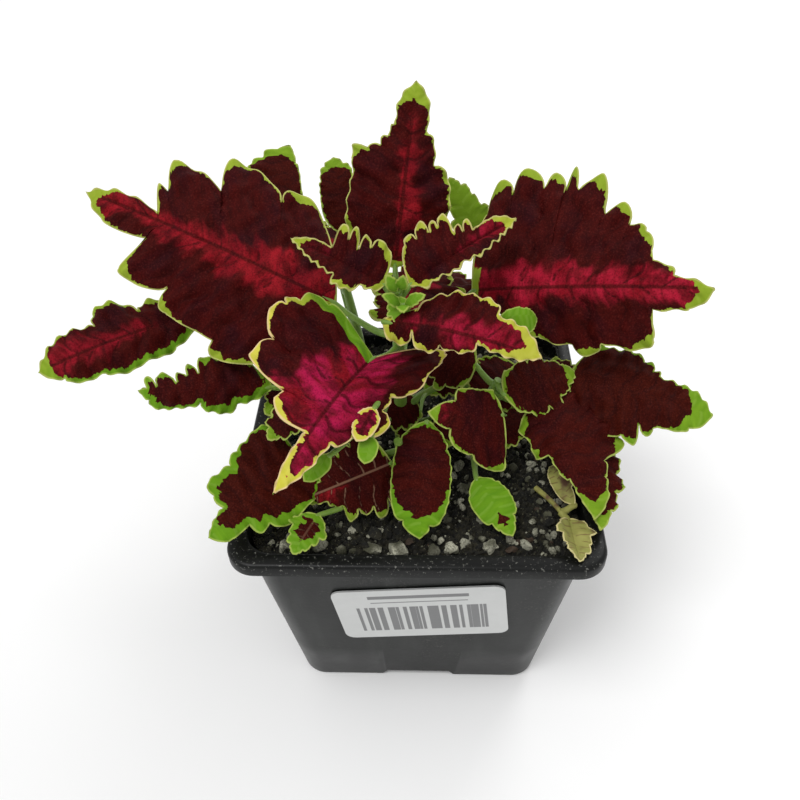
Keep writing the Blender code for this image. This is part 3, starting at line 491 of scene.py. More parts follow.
def margin_points(side):
    """The margin's points as an array of (share of the midrib, distance), base and tip included."""
    if not isinstance(side.margin[0], str):
        return np.array(((0, 0), *side.margin, (1, 0)), float)
    kind, width = KINDS[side.margin[0]], side.margin[1]
    places, shares = np.array(kind.profile).T
    tooth = np.arange(kind.teeth)
    crest = (tooth + TOOTH_CREST) / kind.teeth * kind.reach
    notch = (tooth + 1) / kind.teeth * kind.reach
    size = 1 + TOOTH_VARIETY * np.sin(TOOTH_BEAT * tooth + width)
    rows = np.empty((2 * kind.teeth, 2))
    rows[0::2] = np.stack([crest, width * size * np.interp(crest, places, shares)], 1)
    rows[1::2] = np.stack([notch, width * (1 - kind.cut) * np.interp(notch, places, shares)], 1)
    beyond = (1 + kind.reach) / 2
    tail = (beyond, width * np.interp(beyond, places, shares))
    return np.array([(0, 0), *rows, tail, (1, 0)], float)


def width_at(points, s):
    """From the midrib to the margin: low value + rise x sin(quarter turn) to the power FULLNESS."""
    part = np.clip(np.searchsorted(points[:, 0], s, side="right") - 1, 0, len(points) - 2)
    s0, w0 = points[part].T
    s1, w1 = points[part + 1].T
    share = np.clip((s - s0) / (s1 - s0), 0, 1)
    at_tip = part == len(points) - 2
    power = np.where(part == 0, FULLNESS[0], np.where(at_tip, FULLNESS[2], FULLNESS[1]))
    rise = np.sin(np.pi / 2 * np.where(w1 > w0, share, 1 - share)) ** power
    return np.minimum(w0, w1) + np.abs(w1 - w0) * rise


def places_along(sides, length, step):
    """Where the grid has its rows: closer together beside a notch, where the margin is steep."""
    found = [np.array([0., 1.])]
    for points in sides:
        for (s0, w0), (s1, w1) in zip(points, points[1:]):
            count = int(np.ceil(max((s1 - s0) * length, abs(w1 - w0) * STEEPNESS) / step)) + 1
            share = np.linspace(0, 1, count + 1) ** CROWDING
            found.append(s0 + (s1 - s0) * (share if w1 > w0 else 1 - share[::-1]))
    places = np.sort(np.concatenate(found))
    places = places[np.concatenate([[True], np.diff(places) > CLOSEST])]
    places[-1] = 1
    return places


print("an even margin:", margin_points(Side(("small", 6), SLANT, 0)).round(2).tolist())

# %% [markdown]
# ## The surface of a blade
# A point is read at s along the midrib and v across, from -1 on the right margin to 1 on the left.
# The way out from the midrib is folded down and slants forward, so a line of equal s runs as a
# side vein does. A blade could also be sculpted, but then each of fifty leaves would be new work.
# Worked out from its outline, a leaf costs one row of the table.

# %% Blade
WAVE_COUNT = 4.0            # how often the margin rises and sinks from base to tip
WAVE_POWER = 2.5            # how soon that dies away towards the midrib
FOLD_REACH = 1.5            # mm from the midrib over which the upward direction turns
Measures = namedtuple("Measures", "s v hand away flat")


class Blade:
    """One leaf as whole arrays: its axes, its outline and any point of it."""

    def __init__(self, leaf):
        self.leaf = leaf
        self.base = np.array(leaf.base, float)
        chord = np.array(leaf.tip, float) - self.base
        self.length = np.linalg.norm(chord)
        self.along = chord / self.length
        face = np.array(leaf.face, float)
        face -= self.along * (face @ self.along)
        self.face = face / np.linalg.norm(face)
        self.side = np.cross(self.face, self.along)
        self.left, self.right = margin_points(leaf.left), margin_points(leaf.right)

    def midrib(self, s):
        """base + along x s x length + face x hump x 4 s (1 - s) x length."""
        s = np.asarray(s, float)[..., None]
        bulge = self.leaf.hump * 4 * s * (1 - s) * self.length
        return self.base + self.along * (s * self.length) + self.face * bulge

    def grid(self, s, v):
        """midrib + along x lean x away + out x away + face x wave, the upward direction, measures."""
        s, v = np.meshgrid(s, v, indexing="ij")
        is_left = v > 0

        def pick(left, right):
            return np.where(is_left, left, right)

        left, right = self.leaf.left, self.leaf.right
        hand = pick(1.0, -1.0)
        margin = pick(*(width_at(side, s.ravel()).reshape(s.shape) for side in (self.left, self.right)))
        reach = pick(self.left[:, 1].max(), self.right[:, 1].max())
        fold = np.radians(pick(left.fold, right.fold))
        lean_base, lean_tip = pick(left.lean[0], right.lean[0]), pick(left.lean[1], right.lean[1])
        lean = lean_base + (lean_tip - lean_base) * s
        away = np.abs(v) * margin
        wave = np.sin(2 * np.pi * WAVE_COUNT * s + hand + self.base[0])
        lift = self.leaf.wave * wave * (away / reach) ** WAVE_POWER
        out = self.side * (hand * np.cos(fold))[..., None] - self.face * np.sin(fold)[..., None]
        points = (self.midrib(s) + self.along * (lean * away)[..., None] + out * away[..., None]
                  + self.face * lift[..., None])
        near = np.clip(away / FOLD_REACH, 0, 1)
        up = (self.face * np.cos(fold * near)[..., None]
              + self.side * (hand * np.sin(fold * near))[..., None])
        flat = np.stack([s * self.length + lean * away, hand * away], -1)
        return points, up, Measures(s, v, hand, away, flat)


print("the first blade is %.0f mm long" % Blade(STEMS[0].leaves[0]).length)

# %% [markdown]
# ## Where the edge is
# The rim's colour depends on how far a point is from the edge, and on how far the nearest tooth
# stands out, because pigment is missing mostly in the teeth. Painting a mask by hand would do for
# one leaf. Here both are measured: the outline is smoothed along its own length, and what lies
# beyond the smooth line is a tooth.

# %% Edge and teeth
TOOTH_SPAN = 4.0            # mm over which the outline is smoothed to find what stands out
OUTLINE_STEP = .4           # mm between the points of the outline while it is smoothed
PAIRS_AT_ONCE = 2_000_000   # points x outline pieces that are worked out together
TINY = 1e-9


def standing_out(outline):
    """How far each outline point stands out from the outline smoothed along its own length."""
    gaps = np.hypot(*np.diff(outline, axis=0, append=outline[:1]).T)
    at = np.concatenate([[0], np.cumsum(gaps)])
    even_at = np.arange(0, at[-1], OUTLINE_STEP)
    closed = np.concatenate([outline, outline[:1]])
    line = np.stack([np.interp(even_at, at, closed[:, axis]) for axis in (0, 1)], 1)
    reach = int(3 * TOOTH_SPAN / OUTLINE_STEP)
    offsets = np.arange(-reach, reach + 1)
    bell = np.exp(-.5 * (offsets * OUTLINE_STEP / TOOTH_SPAN) ** 2)
    around = np.take(line, np.arange(len(line))[:, None] + offsets, axis=0, mode="wrap")
    smooth = (around * bell[:, None]).sum(1) / bell.sum()
    run = np.roll(smooth, -1, 0) - np.roll(smooth, 1, 0)
    outward = np.stack([run[:, 1], -run[:, 0]], 1) / np.maximum(np.hypot(*run.T), TINY)[:, None]
    after = np.roll(line, -1, 0)
    area = (line[:, 0] * after[:, 1] - line[:, 1] * after[:, 0]).sum()
    out = ((line - smooth) * outward).sum(1) * np.sign(area)
    return np.interp(at[:-1], even_at, out - out.mean())


def distance_to_outline(flat, outline, heights):
    """The distance of each flat point to the outline, and the outline's height where it is nearest."""
    start, end = outline[:-1], outline[1:]
    span = end - start
    spots = flat.reshape(-1, 2)
    found, height = np.empty(len(spots)), np.empty(len(spots))
    for part in np.array_split(np.arange(len(spots)), max(1, len(spots) * len(span) // PAIRS_AT_ONCE)):
        gap = spots[part, None, :] - start[None]
        share = np.clip((gap * span).sum(-1) / np.maximum((span ** 2).sum(-1), TINY), 0, 1)
        far = np.hypot(*np.moveaxis(gap - share[..., None] * span, -1, 0))
        best = far.argmin(1)
        found[part] = far[np.arange(len(part)), best]
        height[part] = heights[best]
    return found.reshape(flat.shape[:2]), height.reshape(flat.shape[:2])


print("the outline is smoothed over %.0f mm to find its teeth" % TOOTH_SPAN)

# %% [markdown]
# ## The colours of each leaf
# The upper leaves carry crimson or magenta along the midrib, the lower ones none, and their ground
# is browner. A row gives the flame's half width left and right in millimetres at five places from
# base to tip, how strong it is, how magenta, how brown the ground is, how green (1) or cream (0)
# the rim is, how wide the teeth are rimmed, and where along the leaf the pale tip starts. One
# material reads these numbers from the mesh, where a material for each leaf would be fifty trees.

# %% Colours of each leaf
FIVE_NONE = (0,) * 5
Paint = namedtuple(
    "Paint", "left right flame magenta brown green rim tip tip_rim band_left band_right pale",
    defaults=(FIVE_NONE, FIVE_NONE, 0))
NO_FLAME = ((-9,) * 5, (-9,) * 5, 0, 0)
PLAIN = Paint(*NO_FLAME, .6, .9, 1.0, .75, 5)
ALL_GREEN = Paint(*NO_FLAME, .6, 1, 6.0, -1, 9)
GROWN_BEHIND = Paint((1, 4, 4.5, 3, 0), (1, 4, 4.5, 3, 0), .9, .3, .25, .8, 1.2, .8, 4)
PAINTS = {
    **dict.fromkeys(("behind_left", "behind_left_high", "behind_right", "behind_far_right", "back_low"),
                    GROWN_BEHIND),
    **dict.fromkeys(("apex_left", "apex_right", "apex_back", "apex_front", "apex_high", "curled_green",
                     "lobe_behind", "under_finger"), ALL_GREEN),
    "big_left": Paint((4.5, 6, 4.5, 1.5, 9), (6, 6.5, 3, 1.5, 9), .74, .1, .1, .7, 1.35, .8, 2.2),
    "big_right": Paint((6, 6, 5, 3.5, 9), (3, 3.5, 3.5, 3, 9), 1, .3, .15, .75, 1.3, .85, 1.6),
    "back_top": Paint((-2, 0, 1, 1, -4), (1, 3, 3.5, 2, -4), .65, .1, .1, .75, 1.3, .8, 3.6),
    "inner_left": Paint((-5, -3, -1, 1, 2), (-5, -3, -1, 1, 2), .3, .5, 0, .6, .9, .85, 2.5),
    "inner_right": Paint((-5, -4, 0, 4, 5), (-5, -4, 0, 4, 4), .75, .4, 0, .5, .9, .8, 3),
    "front_right": Paint((-2, 2, 4, 6, 3), (-4, -1, 2, 6, 3), .9, .45, 0, .3, .9, .5, 3.8),
    "front_left": Paint((5, 9, 8, 6, 6), (1, 9, 15, 7, 6), 1, .85, 0, .05, .7, .5, 2.3,
                        FIVE_NONE, (4.6, 0, 0, 0, 0)),
    "far_left": Paint((-3, -1, 2, 4, 3), (-3, -1, 3, 5, 3), .7, .2, .15, .8, 1.0, .85, 3,
                      (1, 1.8, 1.5, .6, 0)),
    "centre_right": Paint((-4, -4, -2, 1, 3), (-4, -4, -2, 1, 3), .4, .3, .3, .9, .8, .8, 3),
    "veined_front": Paint((-6, -4, 1, 3, -2), (-6, -6, -6, -6, -6), .8, .1, .5, .85, .9, .95, 1,
                          pale=.4),
    "front_middle": Paint(*NO_FLAME, .45, 1, .9, .45, 5.5),
    "far_right": Paint(*NO_FLAME, .8, .95, 1.2, .66, 7.5),
    "mid_right": Paint(*NO_FLAME, .5, .9, 1.1, .7, 4.5),
    "front_low_left": Paint(*NO_FLAME, .8, 1, 1.1, .8, 4, (0, 1, 2.2, 2.2, 1), (0, 0, 3, .5, 0)),
    "low_left": Paint(*NO_FLAME, .3, .95, 1.2, .85, 3, (1.5, 2, 1.2, .6, 0)),
    "green_small": Paint(*NO_FLAME, .6, 1, 1.5, -2, 1.2, (9, 9, 6, .6, 0), (9, 9, 5, -.3, 0)),
    "cream_lobe": Paint((9,) * 5, (9,) * 5, 1, .9, 0, .1, .1, -2, 1.0),
    "front_small": Paint(*NO_FLAME, .6, 1, 2.2, -.4, 3.0, pale=.15),
    "bud_front": Paint(*NO_FLAME, .8, 1, 6.0, -1, 9),
    "back_right_tip": Paint(*NO_FLAME, .8, .9, 6.0, -1, 9),
    "dry_blade": Paint(*NO_FLAME, 1, 0, 1.0, .9, 1),
}
print("leaves with colours of their own:", len(PAINTS))

# %% [markdown]
# ## Distances that carry the colours
# Each point of the mesh carries how far it is inside the rim, inside the flame and away from the
# nearest side vein. A distance is better than a finished mask, because the material can still make
# the border ragged at any scale, far finer than the mesh.

# %% Distances that carry the colours
FIVE_PLACES = (0, .25, .5, .75, 1)
RIM_THIN = .25              # mm of rim at a notch
RIM_PER_TOOTH = 2.3         # more of it for each mm that a tooth stands out
RIM_MOST = 3.0              # but never more than this, before the leaf's own factor
TIP_POWER = 1.4             # how soon the rim widens towards the tip
VEIN_COUNT = 7              # side veins on each side
VEIN_SHIFT = .25            # a quarter of their spacing to and fro, so that the sides alternate
VEIN_BEND = .18             # how far a vein wanders, as a share of their spacing
BEND_PER_MM, BEND_ALONG = .55, 5        # how fast it does so outwards, and from vein to vein


def along_leaf(got, left, right):
    """A value that is given at five places on each side of the midrib, read at every point."""
    return np.where(got.hand > 0, np.interp(got.s, FIVE_PLACES, left),
                    np.interp(got.s, FIVE_PLACES, right))


def colour_distances(blade, paint, got, edge, height):
    """Millimetres inside the rim, inside the flame, off the nearest side vein, and of extra rim."""
    fire = along_leaf(got, paint.left, paint.right) - got.away
    band = along_leaf(got, paint.band_left, paint.band_right)
    tip = np.clip((got.s - paint.tip) / (1 - paint.tip), 0, 1)
    rim = (RIM_THIN + paint.rim * np.clip(RIM_PER_TOOTH * height, 0, RIM_MOST)
           + paint.tip_rim * tip ** TIP_POWER + band - edge)
    bend = VEIN_BEND * np.sin(got.away * BEND_PER_MM + BEND_ALONG * got.s + blade.base[1])
    phase = got.s * VEIN_COUNT + VEIN_SHIFT * got.hand + bend
    vein = np.abs(phase - np.round(phase)) * blade.length / VEIN_COUNT
    return rim, fire, vein, band


print("side veins on each side: %d, rim at a notch: %.2f mm" % (VEIN_COUNT, RIM_THIN))

# %% [markdown]
# ## Relief
# A coleus leaf is quilted: it swells between its veins, its midrib lies in a groove, and its margin
# curls up and down. A bump in the material would show none of this from the side, and the mesh would
# stay flat in the exported files, so the points themselves are moved along the upward direction.

# %% Relief
FULL_RELIEF = 45            # mm: a shorter blade gets less relief
QUILT, VEIN_WIDTH = .95, 1.6        # mm that it swells between two side veins, and their width
GROOVE, GROOVE_WIDTH = .45, .8      # mm that the midrib lies deep, and its width
GROOVE_ENDS = 4             # it runs out over the last quarter
CRISP = .85                 # mm that the margin curls up and down
CRISP_COUNT, CRISP_SHIFT = 11, .2   # how often from base to tip, and how much the sides differ
CRISP_POWER = 4             # how soon the curl dies away towards the midrib
CALM_MIDDLE, CALM_EDGE = 2.5, 3     # mm beside the midrib and the edge with less quilting
RIPPLE = .5                 # mm of gentle swellings
RIPPLE_PITCHES = (13, 9.5, 7, 5)
RIPPLE_TURN = 1.9           # the angle between one sine wave and the next


def uneven(flat, shift):
    """Gentle swellings of a blade: a sum of sine waves whose pitches are in RIPPLE_PITCHES."""
    total = 0
    for number, pitch in enumerate(RIPPLE_PITCHES):
        turn = RIPPLE_TURN * number + shift
        way = flat[..., 0] * math.cos(turn) + flat[..., 1] * math.sin(turn)
        total = total + np.sin(2 * np.pi * way / pitch + shift * (number + 1))
    return total / math.sqrt(len(RIPPLE_PITCHES))


def relief(blade, got, vein, edge, crumple):
    """Quilting - groove + curled margin + crumple x swellings, in millimetres."""
    size = min(1, blade.length / FULL_RELIEF)
    inside = np.clip(got.away / CALM_MIDDLE, 0, 1) * np.clip(edge / CALM_EDGE, 0, 1)
    quilt = size * QUILT * (1 - np.exp(-(vein / VEIN_WIDTH) ** 2)) * inside
    run_out = np.clip(GROOVE_ENDS * (1 - got.s), 0, 1)
    groove = size * GROOVE * np.exp(-(got.away / GROOVE_WIDTH) ** 2) * run_out
    curl = np.sin(2 * np.pi * (CRISP_COUNT * got.s + CRISP_SHIFT * got.hand))
    crisp = size * CRISP * curl * np.abs(got.v) ** CRISP_POWER
    ripple = RIPPLE * crumple * inside * size * uneven(got.flat, blade.base[0])
    return quilt - groove + crisp + ripple


print("relief: %.2f mm of quilting, %.2f mm of curl at the margin" % (QUILT, CRISP))

# %% [markdown]
# ## The blade's mesh
# The grid's rows crowd at the notches. The rows at base and tip are one point each, so their
# triangles that have no area are left out. The same triangles turned over make the under side, and
# a strip of triangles closes the rim. A Solidify modifier could give the thickness too, but not one
# that thins towards the edge as here.

# %% Mesh of a blade
BLADE_HALF = .3             # half the thickness in mm
EDGE_SHARE, EDGE_OVER = .45, 1.2    # its share that is left at the edge, and mm over which it thins
ROW_STEP = .9               # mm between rows along a margin
COLUMNS, COLUMNS_AT = 16, 14        # points across a half blade that is so many mm wide
COLUMNS_LIMITS = (9, 24)
COLUMN_CROWDING = 1.25      # how much they crowd towards the margin
MAP_UNIT = 100              # mm for each unit of the map
MAP_SHIFT, MAP_SHIFTS = 3.7, 7      # so that two leaves don't carry the same noise
BAND_TO_GREEN = 3           # mm of extra rim that make it wholly green


def grid_triangles(index):
    """Two triangles for each cell of a grid of point numbers, without those that lost their area."""
    a, b, c, d = index[:-1, :-1], index[1:, :-1], index[1:, 1:], index[:-1, 1:]
    found = np.concatenate([np.stack(corners, -1).reshape(-1, 3) for corners in ((a, b, c), (a, c, d))])
    a, b, c = found.T
    return found[(a != b) & (b != c) & (a != c)]


def grid_lines(blade):
    """The grid's s and v: rows crowd at the notches, columns at the margin."""
    widest = max(blade.left[:, 1].max(), blade.right[:, 1].max())
    columns = int(np.clip(COLUMNS * widest / COLUMNS_AT, *COLUMNS_LIMITS))
    side = 1 - (1 - np.linspace(0, 1, columns)) ** COLUMN_CROWDING
    s = places_along((blade.left, blade.right), blade.length, ROW_STEP)
    return s, np.concatenate([-side[:0:-1], side])


def shell_triangles(rows, count):
    """The upper side, the same triangles turned over below it, and a strip round the rim."""
    index = np.arange(rows * count).reshape(rows, count)
    index[0], index[-1] = index[0, count // 2], index[-1, count // 2]
    upper = grid_triangles(index)
    ring = np.concatenate([index[:, -1], index[-2::-1, 0]])
    strip = grid_triangles(np.stack([ring, ring + index.size]))
    return np.concatenate([upper, upper[:, ::-1] + index.size, strip[:, ::-1]])


def blade_arrays(leaf, crumple=1.0):
    """Points, triangles, map coordinates and carried values of one leaf, in millimetres."""
    blade = Blade(leaf)
    paint = PAINTS.get(leaf.name, PLAIN)
    points, up, got = blade.grid(*grid_lines(blade))
    outline = np.concatenate([got.flat[:, -1], got.flat[::-1, 0]])
    edge, height = distance_to_outline(got.flat, outline, standing_out(outline))
    rim, fire, vein, band = colour_distances(blade, paint, got, edge, height)

    points = points + relief(blade, got, vein, edge, crumple)[..., None] * up
    half = BLADE_HALF * (EDGE_SHARE + (1 - EDGE_SHARE) * np.clip(edge / EDGE_OVER, 0, 1))
    thick = up * half[..., None]
    shift = MAP_SHIFT * blade.base[0] % MAP_SHIFTS
    ribs = np.stack([got.s * blade.length + shift, got.hand * got.away], -1) / MAP_UNIT

    values = {"rim": rim, "fire": fire, "vein": vein, "mid": got.away, "edge": edge,
              "green": np.minimum(1, paint.green + band / BAND_TO_GREEN)}
    for key in ("flame", "magenta", "brown", "pale"):
        values[key] = np.full(edge.shape, float(getattr(paint, key)))
    values = {key: np.tile(value.ravel(), 2) for key, value in values.items()}
    values["under"] = np.repeat([0., 1.], edge.size)
    both = np.concatenate([(points + thick).reshape(-1, 3), (points - thick).reshape(-1, 3)])
    return both, shell_triangles(*edge.shape), np.tile(ribs.reshape(-1, 2), (2, 1)), values


print("%s: %d points" % (STEMS[0].leaves[0].name, len(blade_arrays(STEMS[0].leaves[0])[0])))

# %% [markdown]
# ## Stems and stalks
# A stem is a round tube along a smooth path. Blender's curves with a bevel would do as well, but a
# stem has to be in one mesh with its blades. So the path passes through a few given points, with a
# cubic between each pair, and the ring of points is carried along without twisting.

# %% Tubes
ANY_WAY = (.3, .5, .81)     # a direction that no stem has, from which the first ring's is drawn


def smooth_path(points, steps=8):
    """Catmull-Rom: between two points, a cubic whose end slopes follow their neighbours."""
    points = np.array(points, float)
    padded = np.concatenate([2 * points[:1] - points[1:2], points, 2 * points[-1:] - points[-2:-1]])
    t = np.linspace(0, 1, steps, endpoint=False)[:, None]
    parts = []
    for p0, p1, p2, p3 in zip(padded, padded[1:], padded[2:], padded[3:]):
        parts.append(.5 * (2 * p1 + (p2 - p0) * t + (2 * p0 - 5 * p1 + 4 * p2 - p3) * t ** 2
                           + (3 * p1 - p0 - 3 * p2 + p3) * t ** 3))
    return np.concatenate([*parts, points[-1:]])


def tube_arrays(path, radii, sides=12):
    """path + radius x (side x cos turn + other x sin turn), closed at both ends with a fan."""
    ahead = np.gradient(path, axis=0)
    ahead /= np.linalg.norm(ahead, axis=1)[:, None]
    side = np.cross(ahead[0], ANY_WAY)
    frames = []
    for way in ahead:
        side = side - way * (side @ way)
        side /= np.linalg.norm(side)
        frames.append(side)
    frames = np.array(frames)
    other = np.cross(ahead, frames)
    turn = np.linspace(0, 2 * np.pi, sides, endpoint=False)
    ring = frames[:, None] * np.cos(turn)[:, None] + other[:, None] * np.sin(turn)[:, None]
    points = path[:, None] + ring * np.asarray(radii)[:, None, None]
    index = np.arange(points.shape[0] * sides).reshape(-1, sides)
    index = np.concatenate([index, index[:, :1]], 1)
    body = grid_triangles(index)[:, ::-1]
    first, last = len(path) * sides, len(path) * sides + 1
    foot = np.stack([np.full(sides, first), index[0, :-1], index[0, 1:]], 1)
    cap = np.stack([np.full(sides, last), index[-1, :-1], index[-1, 1:]], 1)
    points = np.concatenate([points.reshape(-1, 3), path[:1], path[-1:]])
    return points, np.concatenate([body, foot, cap])


print("points along the first stem:", len(smooth_path(STEMS[0].path)))

# %% [markdown]
# A leaf stalk leaves its stem at a node, sags a little on its way out, and goes on under the blade
# as the midrib, where it tapers away. Its path is worked out from the stem and the blade, so a
# stalk always reaches both.

# %% Stalks
STALK_RADIUS = .95          # mm
STALK_TAPER = ((0, 1.15), (.5, .75), (.67, .7), (1, .25))     # share of its length, share of that
STALK_SAG = ((.35, .1), (.75, .07))             # share of the way out, sag as a share of its length
STALK_UNDER = ((.015, .55), (.1, 1.0), (.3, .8), (.6, .45))   # share of the midrib, mm below it
STALK_MEETS = .02           # the share of the midrib at which it meets the blade


def on_path(path, height):
    """The point of a rising path at one height."""
    path = np.array(path, float)
    return np.array([np.interp(height, path[:, 2], path[:, axis]) for axis in range(3)])


def stalk_path(stem, leaf):
    """From the stem in a slack arc to the blade, and on under its midrib."""
    blade = Blade(leaf)
    start, end = on_path(stem.path, leaf.node), blade.midrib(STALK_MEETS)
    length = np.linalg.norm(end - start)
    arc = [start + (end - start) * share - (0, 0, sag * length) for share, sag in STALK_SAG]
    under = [blade.midrib(share) - blade.face * drop for share, drop in STALK_UNDER]
    return smooth_path([start, *arc, *under])


def stalk_arrays(stem, leaf):
    """The tube of a leaf's stalk, as wide as STALK_TAPER says."""
    path = stalk_path(stem, leaf)
    share = np.linspace(0, 1, len(path))
    return tube_arrays(path, STALK_RADIUS * np.interp(share, *zip(*STALK_TAPER)))


print("points along the first stalk:", len(stalk_path(STEMS[0], STEMS[0].leaves[0])))

# %% [markdown]
# ## From arrays to a piece
# A mesh takes whole arrays at once with foreach_set, which is far quicker than adding faces one by
# one. Map coordinates and carried values are for the material: each value is an attribute whose
# name starts with leaf_, because the renderer keeps some plain names for itself.

# %% Pieces from arrays
CARRIED = ("rim", "fire", "vein", "mid", "edge", "under", "flame", "magenta", "brown", "pale", "green")
SHARP = 50                  # degrees between two faces from which their edge stays sharp


def new_piece(name, points, triangles, materials, coordinates=None, values=None, part=None,
              crease=SHARP):
    """A mesh object from arrays: points in millimetres, triangles, map coordinates, carried values."""
    mesh = bpy.data.meshes.new(name)
    mesh.vertices.add(len(points))
    mesh.vertices.foreach_set("co", (points * MM).astype(np.float32).ravel())
    mesh.loops.add(3 * len(triangles))
    mesh.loops.foreach_set("vertex_index", triangles.astype(np.int32).ravel())
    mesh.polygons.add(len(triangles))
    mesh.polygons.foreach_set("loop_start", np.arange(0, 3 * len(triangles), 3, dtype=np.int32))
    for material in materials:
        mesh.materials.append(material)
    if part is not None:
        mesh.polygons.foreach_set("material_index", part.astype(np.int32))
    mesh.update(calc_edges=True)
    if coordinates is not None:
        layer = mesh.uv_layers.new(name="ribs")
        layer.data.foreach_set("uv", coordinates[triangles.ravel()].astype(np.float32).ravel())
    for key, value in (values or {}).items():
        layer = mesh.attributes.new("leaf_" + key, "FLOAT", "POINT")
        layer.data.foreach_set("value", value.astype(np.float32))
    mesh.shade_smooth()
    mesh.set_sharp_from_angle(angle=math.radians(crease))
    item = bpy.data.objects.new(name, mesh)
    bpy.context.scene.collection.objects.link(item)
    print("%s: %d triangles" % (name, len(triangles)))
    return item


print("numbers that a leaf's points carry:", ", ".join(CARRIED))

# %% [markdown]
# ## Velvet leaves
# The ground is a very dark maroon under fine short hairs, so it gets sheen, a high roughness and a
# speckle of lighter points, which are painted glints on the hair tips. The flame and the rim are
# masks made from the carried distances. Noise that is stretched along the side veins is added to a
# distance before the step, so both borders become ragged, as pigment that follows the veins does.

# %% Noise along the veins


def rib_noise(tree, scale_along, scale_out, detail=3.0):
    """Noise on the blade's own map, drawn out along the side veins."""
    ribs = node(tree, "UVMap", uv_map="ribs").outputs["UV"]
    return noise(tree, stretched(tree, ribs, (scale_along, scale_out, 1)), 1.0, detail)


def moved_by(tree, distance, pattern, amount):
    """A distance that a pattern moves to and fro by the amount, in millimetres."""
    to_and_fro = math_node(tree, "SUBTRACT", pattern, .5)
    return math_node(tree, "MULTIPLY_ADD", to_and_fro, 2 * amount, distance)


def ragged(tree, distance, pattern, amount, soft):
    """A step at distance 0 that a pattern moves to and fro by the amount, all in millimetres."""
    return ramp(tree, moved_by(tree, distance, pattern, amount), -soft, soft)


print("helpers ready: rib noise and ragged borders")

# %% [markdown]
# The ground isn't one colour: it is browner on lower leaves, has purple blots on upper ones, and
# nearly black streaks between the veins. The flame goes from crimson to magenta, and is broken into
# patches. It is weaker on the midrib and on the side veins, where the leaf stays dark.

# %% Ground and flame
MAROON, BROWN_MAROON = (.058, .0030, .0028), (.050, .0058, .0020)
PURPLE, NEARLY_BLACK = (.027, .0026, .0050), (.015, .0014, .0014)
CRIMSON, MAGENTA = (.41, .012, .016), (.46, .010, .080)
DEEP_RED, DARK_RED = (.23, .005, .012), (.15, .004, .010)
FLAME_RAGGED, FLAME_SOFT = 7.5, 1.6     # mm


def ground_colour(tree, streaks, blots):
    """Maroon or brown, purple in blots, nearly black in streaks."""
    brown = carried(tree, "brown")
    ground = mix_colour(tree, brown, MAROON, BROWN_MAROON)
    purple = times(tree, ramp(tree, blots, .45, .7), rest_of(tree, brown))
    ground = mix_colour(tree, purple, ground, PURPLE)
    return mix_colour(tree, times(tree, ramp(tree, streaks, .4, .75), .6), ground, NEARLY_BLACK)


def flame_colour(tree, streaks, blots):
    """Crimson to magenta, deeper in blots and darker in streaks."""
    fire = mix_colour(tree, carried(tree, "magenta"), CRIMSON, MAGENTA)
    fire = mix_colour(tree, ramp(tree, blots, .38, .66), fire, DEEP_RED)
    return mix_colour(tree, ramp(tree, streaks, .45, .75), fire, DARK_RED)


def flame_mask(tree, vein, patches):
    """Ragged border x the leaf's own strength x patches, less on side veins and on the midrib."""
    heat = ragged(tree, carried(tree, "fire"), patches, FLAME_RAGGED, FLAME_SOFT)
    heat = times(tree, heat, carried(tree, "flame"))
    heat = times(tree, heat, at_least(tree, ramp(tree, rib_noise(tree, 27, 19), .36, .56), .4))
    heat = times(tree, heat, at_least(tree, vein, .4))
    return times(tree, heat, at_least(tree, ramp(tree, carried(tree, "mid"), .2, .75), .25))


print("flame: its border wanders by %.1f mm" % FLAME_RAGGED)

# %% [markdown]
# The rim is fresh green or cream, with a thin pale line at the very edge. Where a leaf carries few
# red pigments its veins show as pale lines. The short hairs catch the light as tiny points, so painted
# glints (light specks) and painted shade between the hairs (dark specks) lie over the ground.

# %% Rim, veins and specks
LEAF_GREEN, FRESH_GREEN, VEIN_GREEN = (.065, .20, .008), (.19, .37, .015), (.22, .38, .045)
YELLOW, CREAM = (.55, .52, .018), (.74, .66, .13)
CREAM_LINE, GREEN_LINE = (.80, .58, .30), (.36, .46, .09)
PALE_VEIN, DARK_VEIN = (.42, .24, .15), (.010, .0015, .0020)
# painted light: shade between the hairs and glints on their tips, laid on as dark and light specks
HAIR_PAINTED_SHADE, HAIR_PAINTED_GLINT = (.012, .0012, .0015), (.24, .052, .040)
RIM_RAGGED, RIM_SOFT = 2.0, .1          # mm


def rim_colour(tree, streaks, vein):
    """Green or cream, yellower in streaks, with a thin line at the very edge."""
    green = carried(tree, "green")
    wide_green = mix_colour(tree, streaks, LEAF_GREEN, FRESH_GREEN)
    wide_green = mix_colour(tree, at_least(tree, vein, .55), VEIN_GREEN, wide_green)
    wide = mix_colour(tree, green, mix_colour(tree, streaks, YELLOW, CREAM), wide_green)
    line = mix_colour(tree, green, CREAM_LINE, GREEN_LINE)
    return mix_colour(tree, ramp(tree, carried(tree, "edge"), .15, .55), line, wide)


def rim_mask(tree, streaks):
    """The ragged rim, and at least a thin line all round."""
    line = ramp(tree, carried(tree, "edge"), .46, .26)
    return math_node(tree, "MAXIMUM", ragged(tree, carried(tree, "rim"), streaks, RIM_RAGGED, RIM_SOFT),
                     line)


def with_painted_glints_and_shade(tree, colour, speckle):
    """Painted shade as dark points between the hairs, painted glints as light points on their tips."""
    colour = mix_colour(tree, times(tree, ramp(tree, speckle, .52, .36), .45), colour, HAIR_PAINTED_SHADE)
    return mix_colour(tree, times(tree, ramp(tree, speckle, .54, .69), .17), colour, HAIR_PAINTED_GLINT)


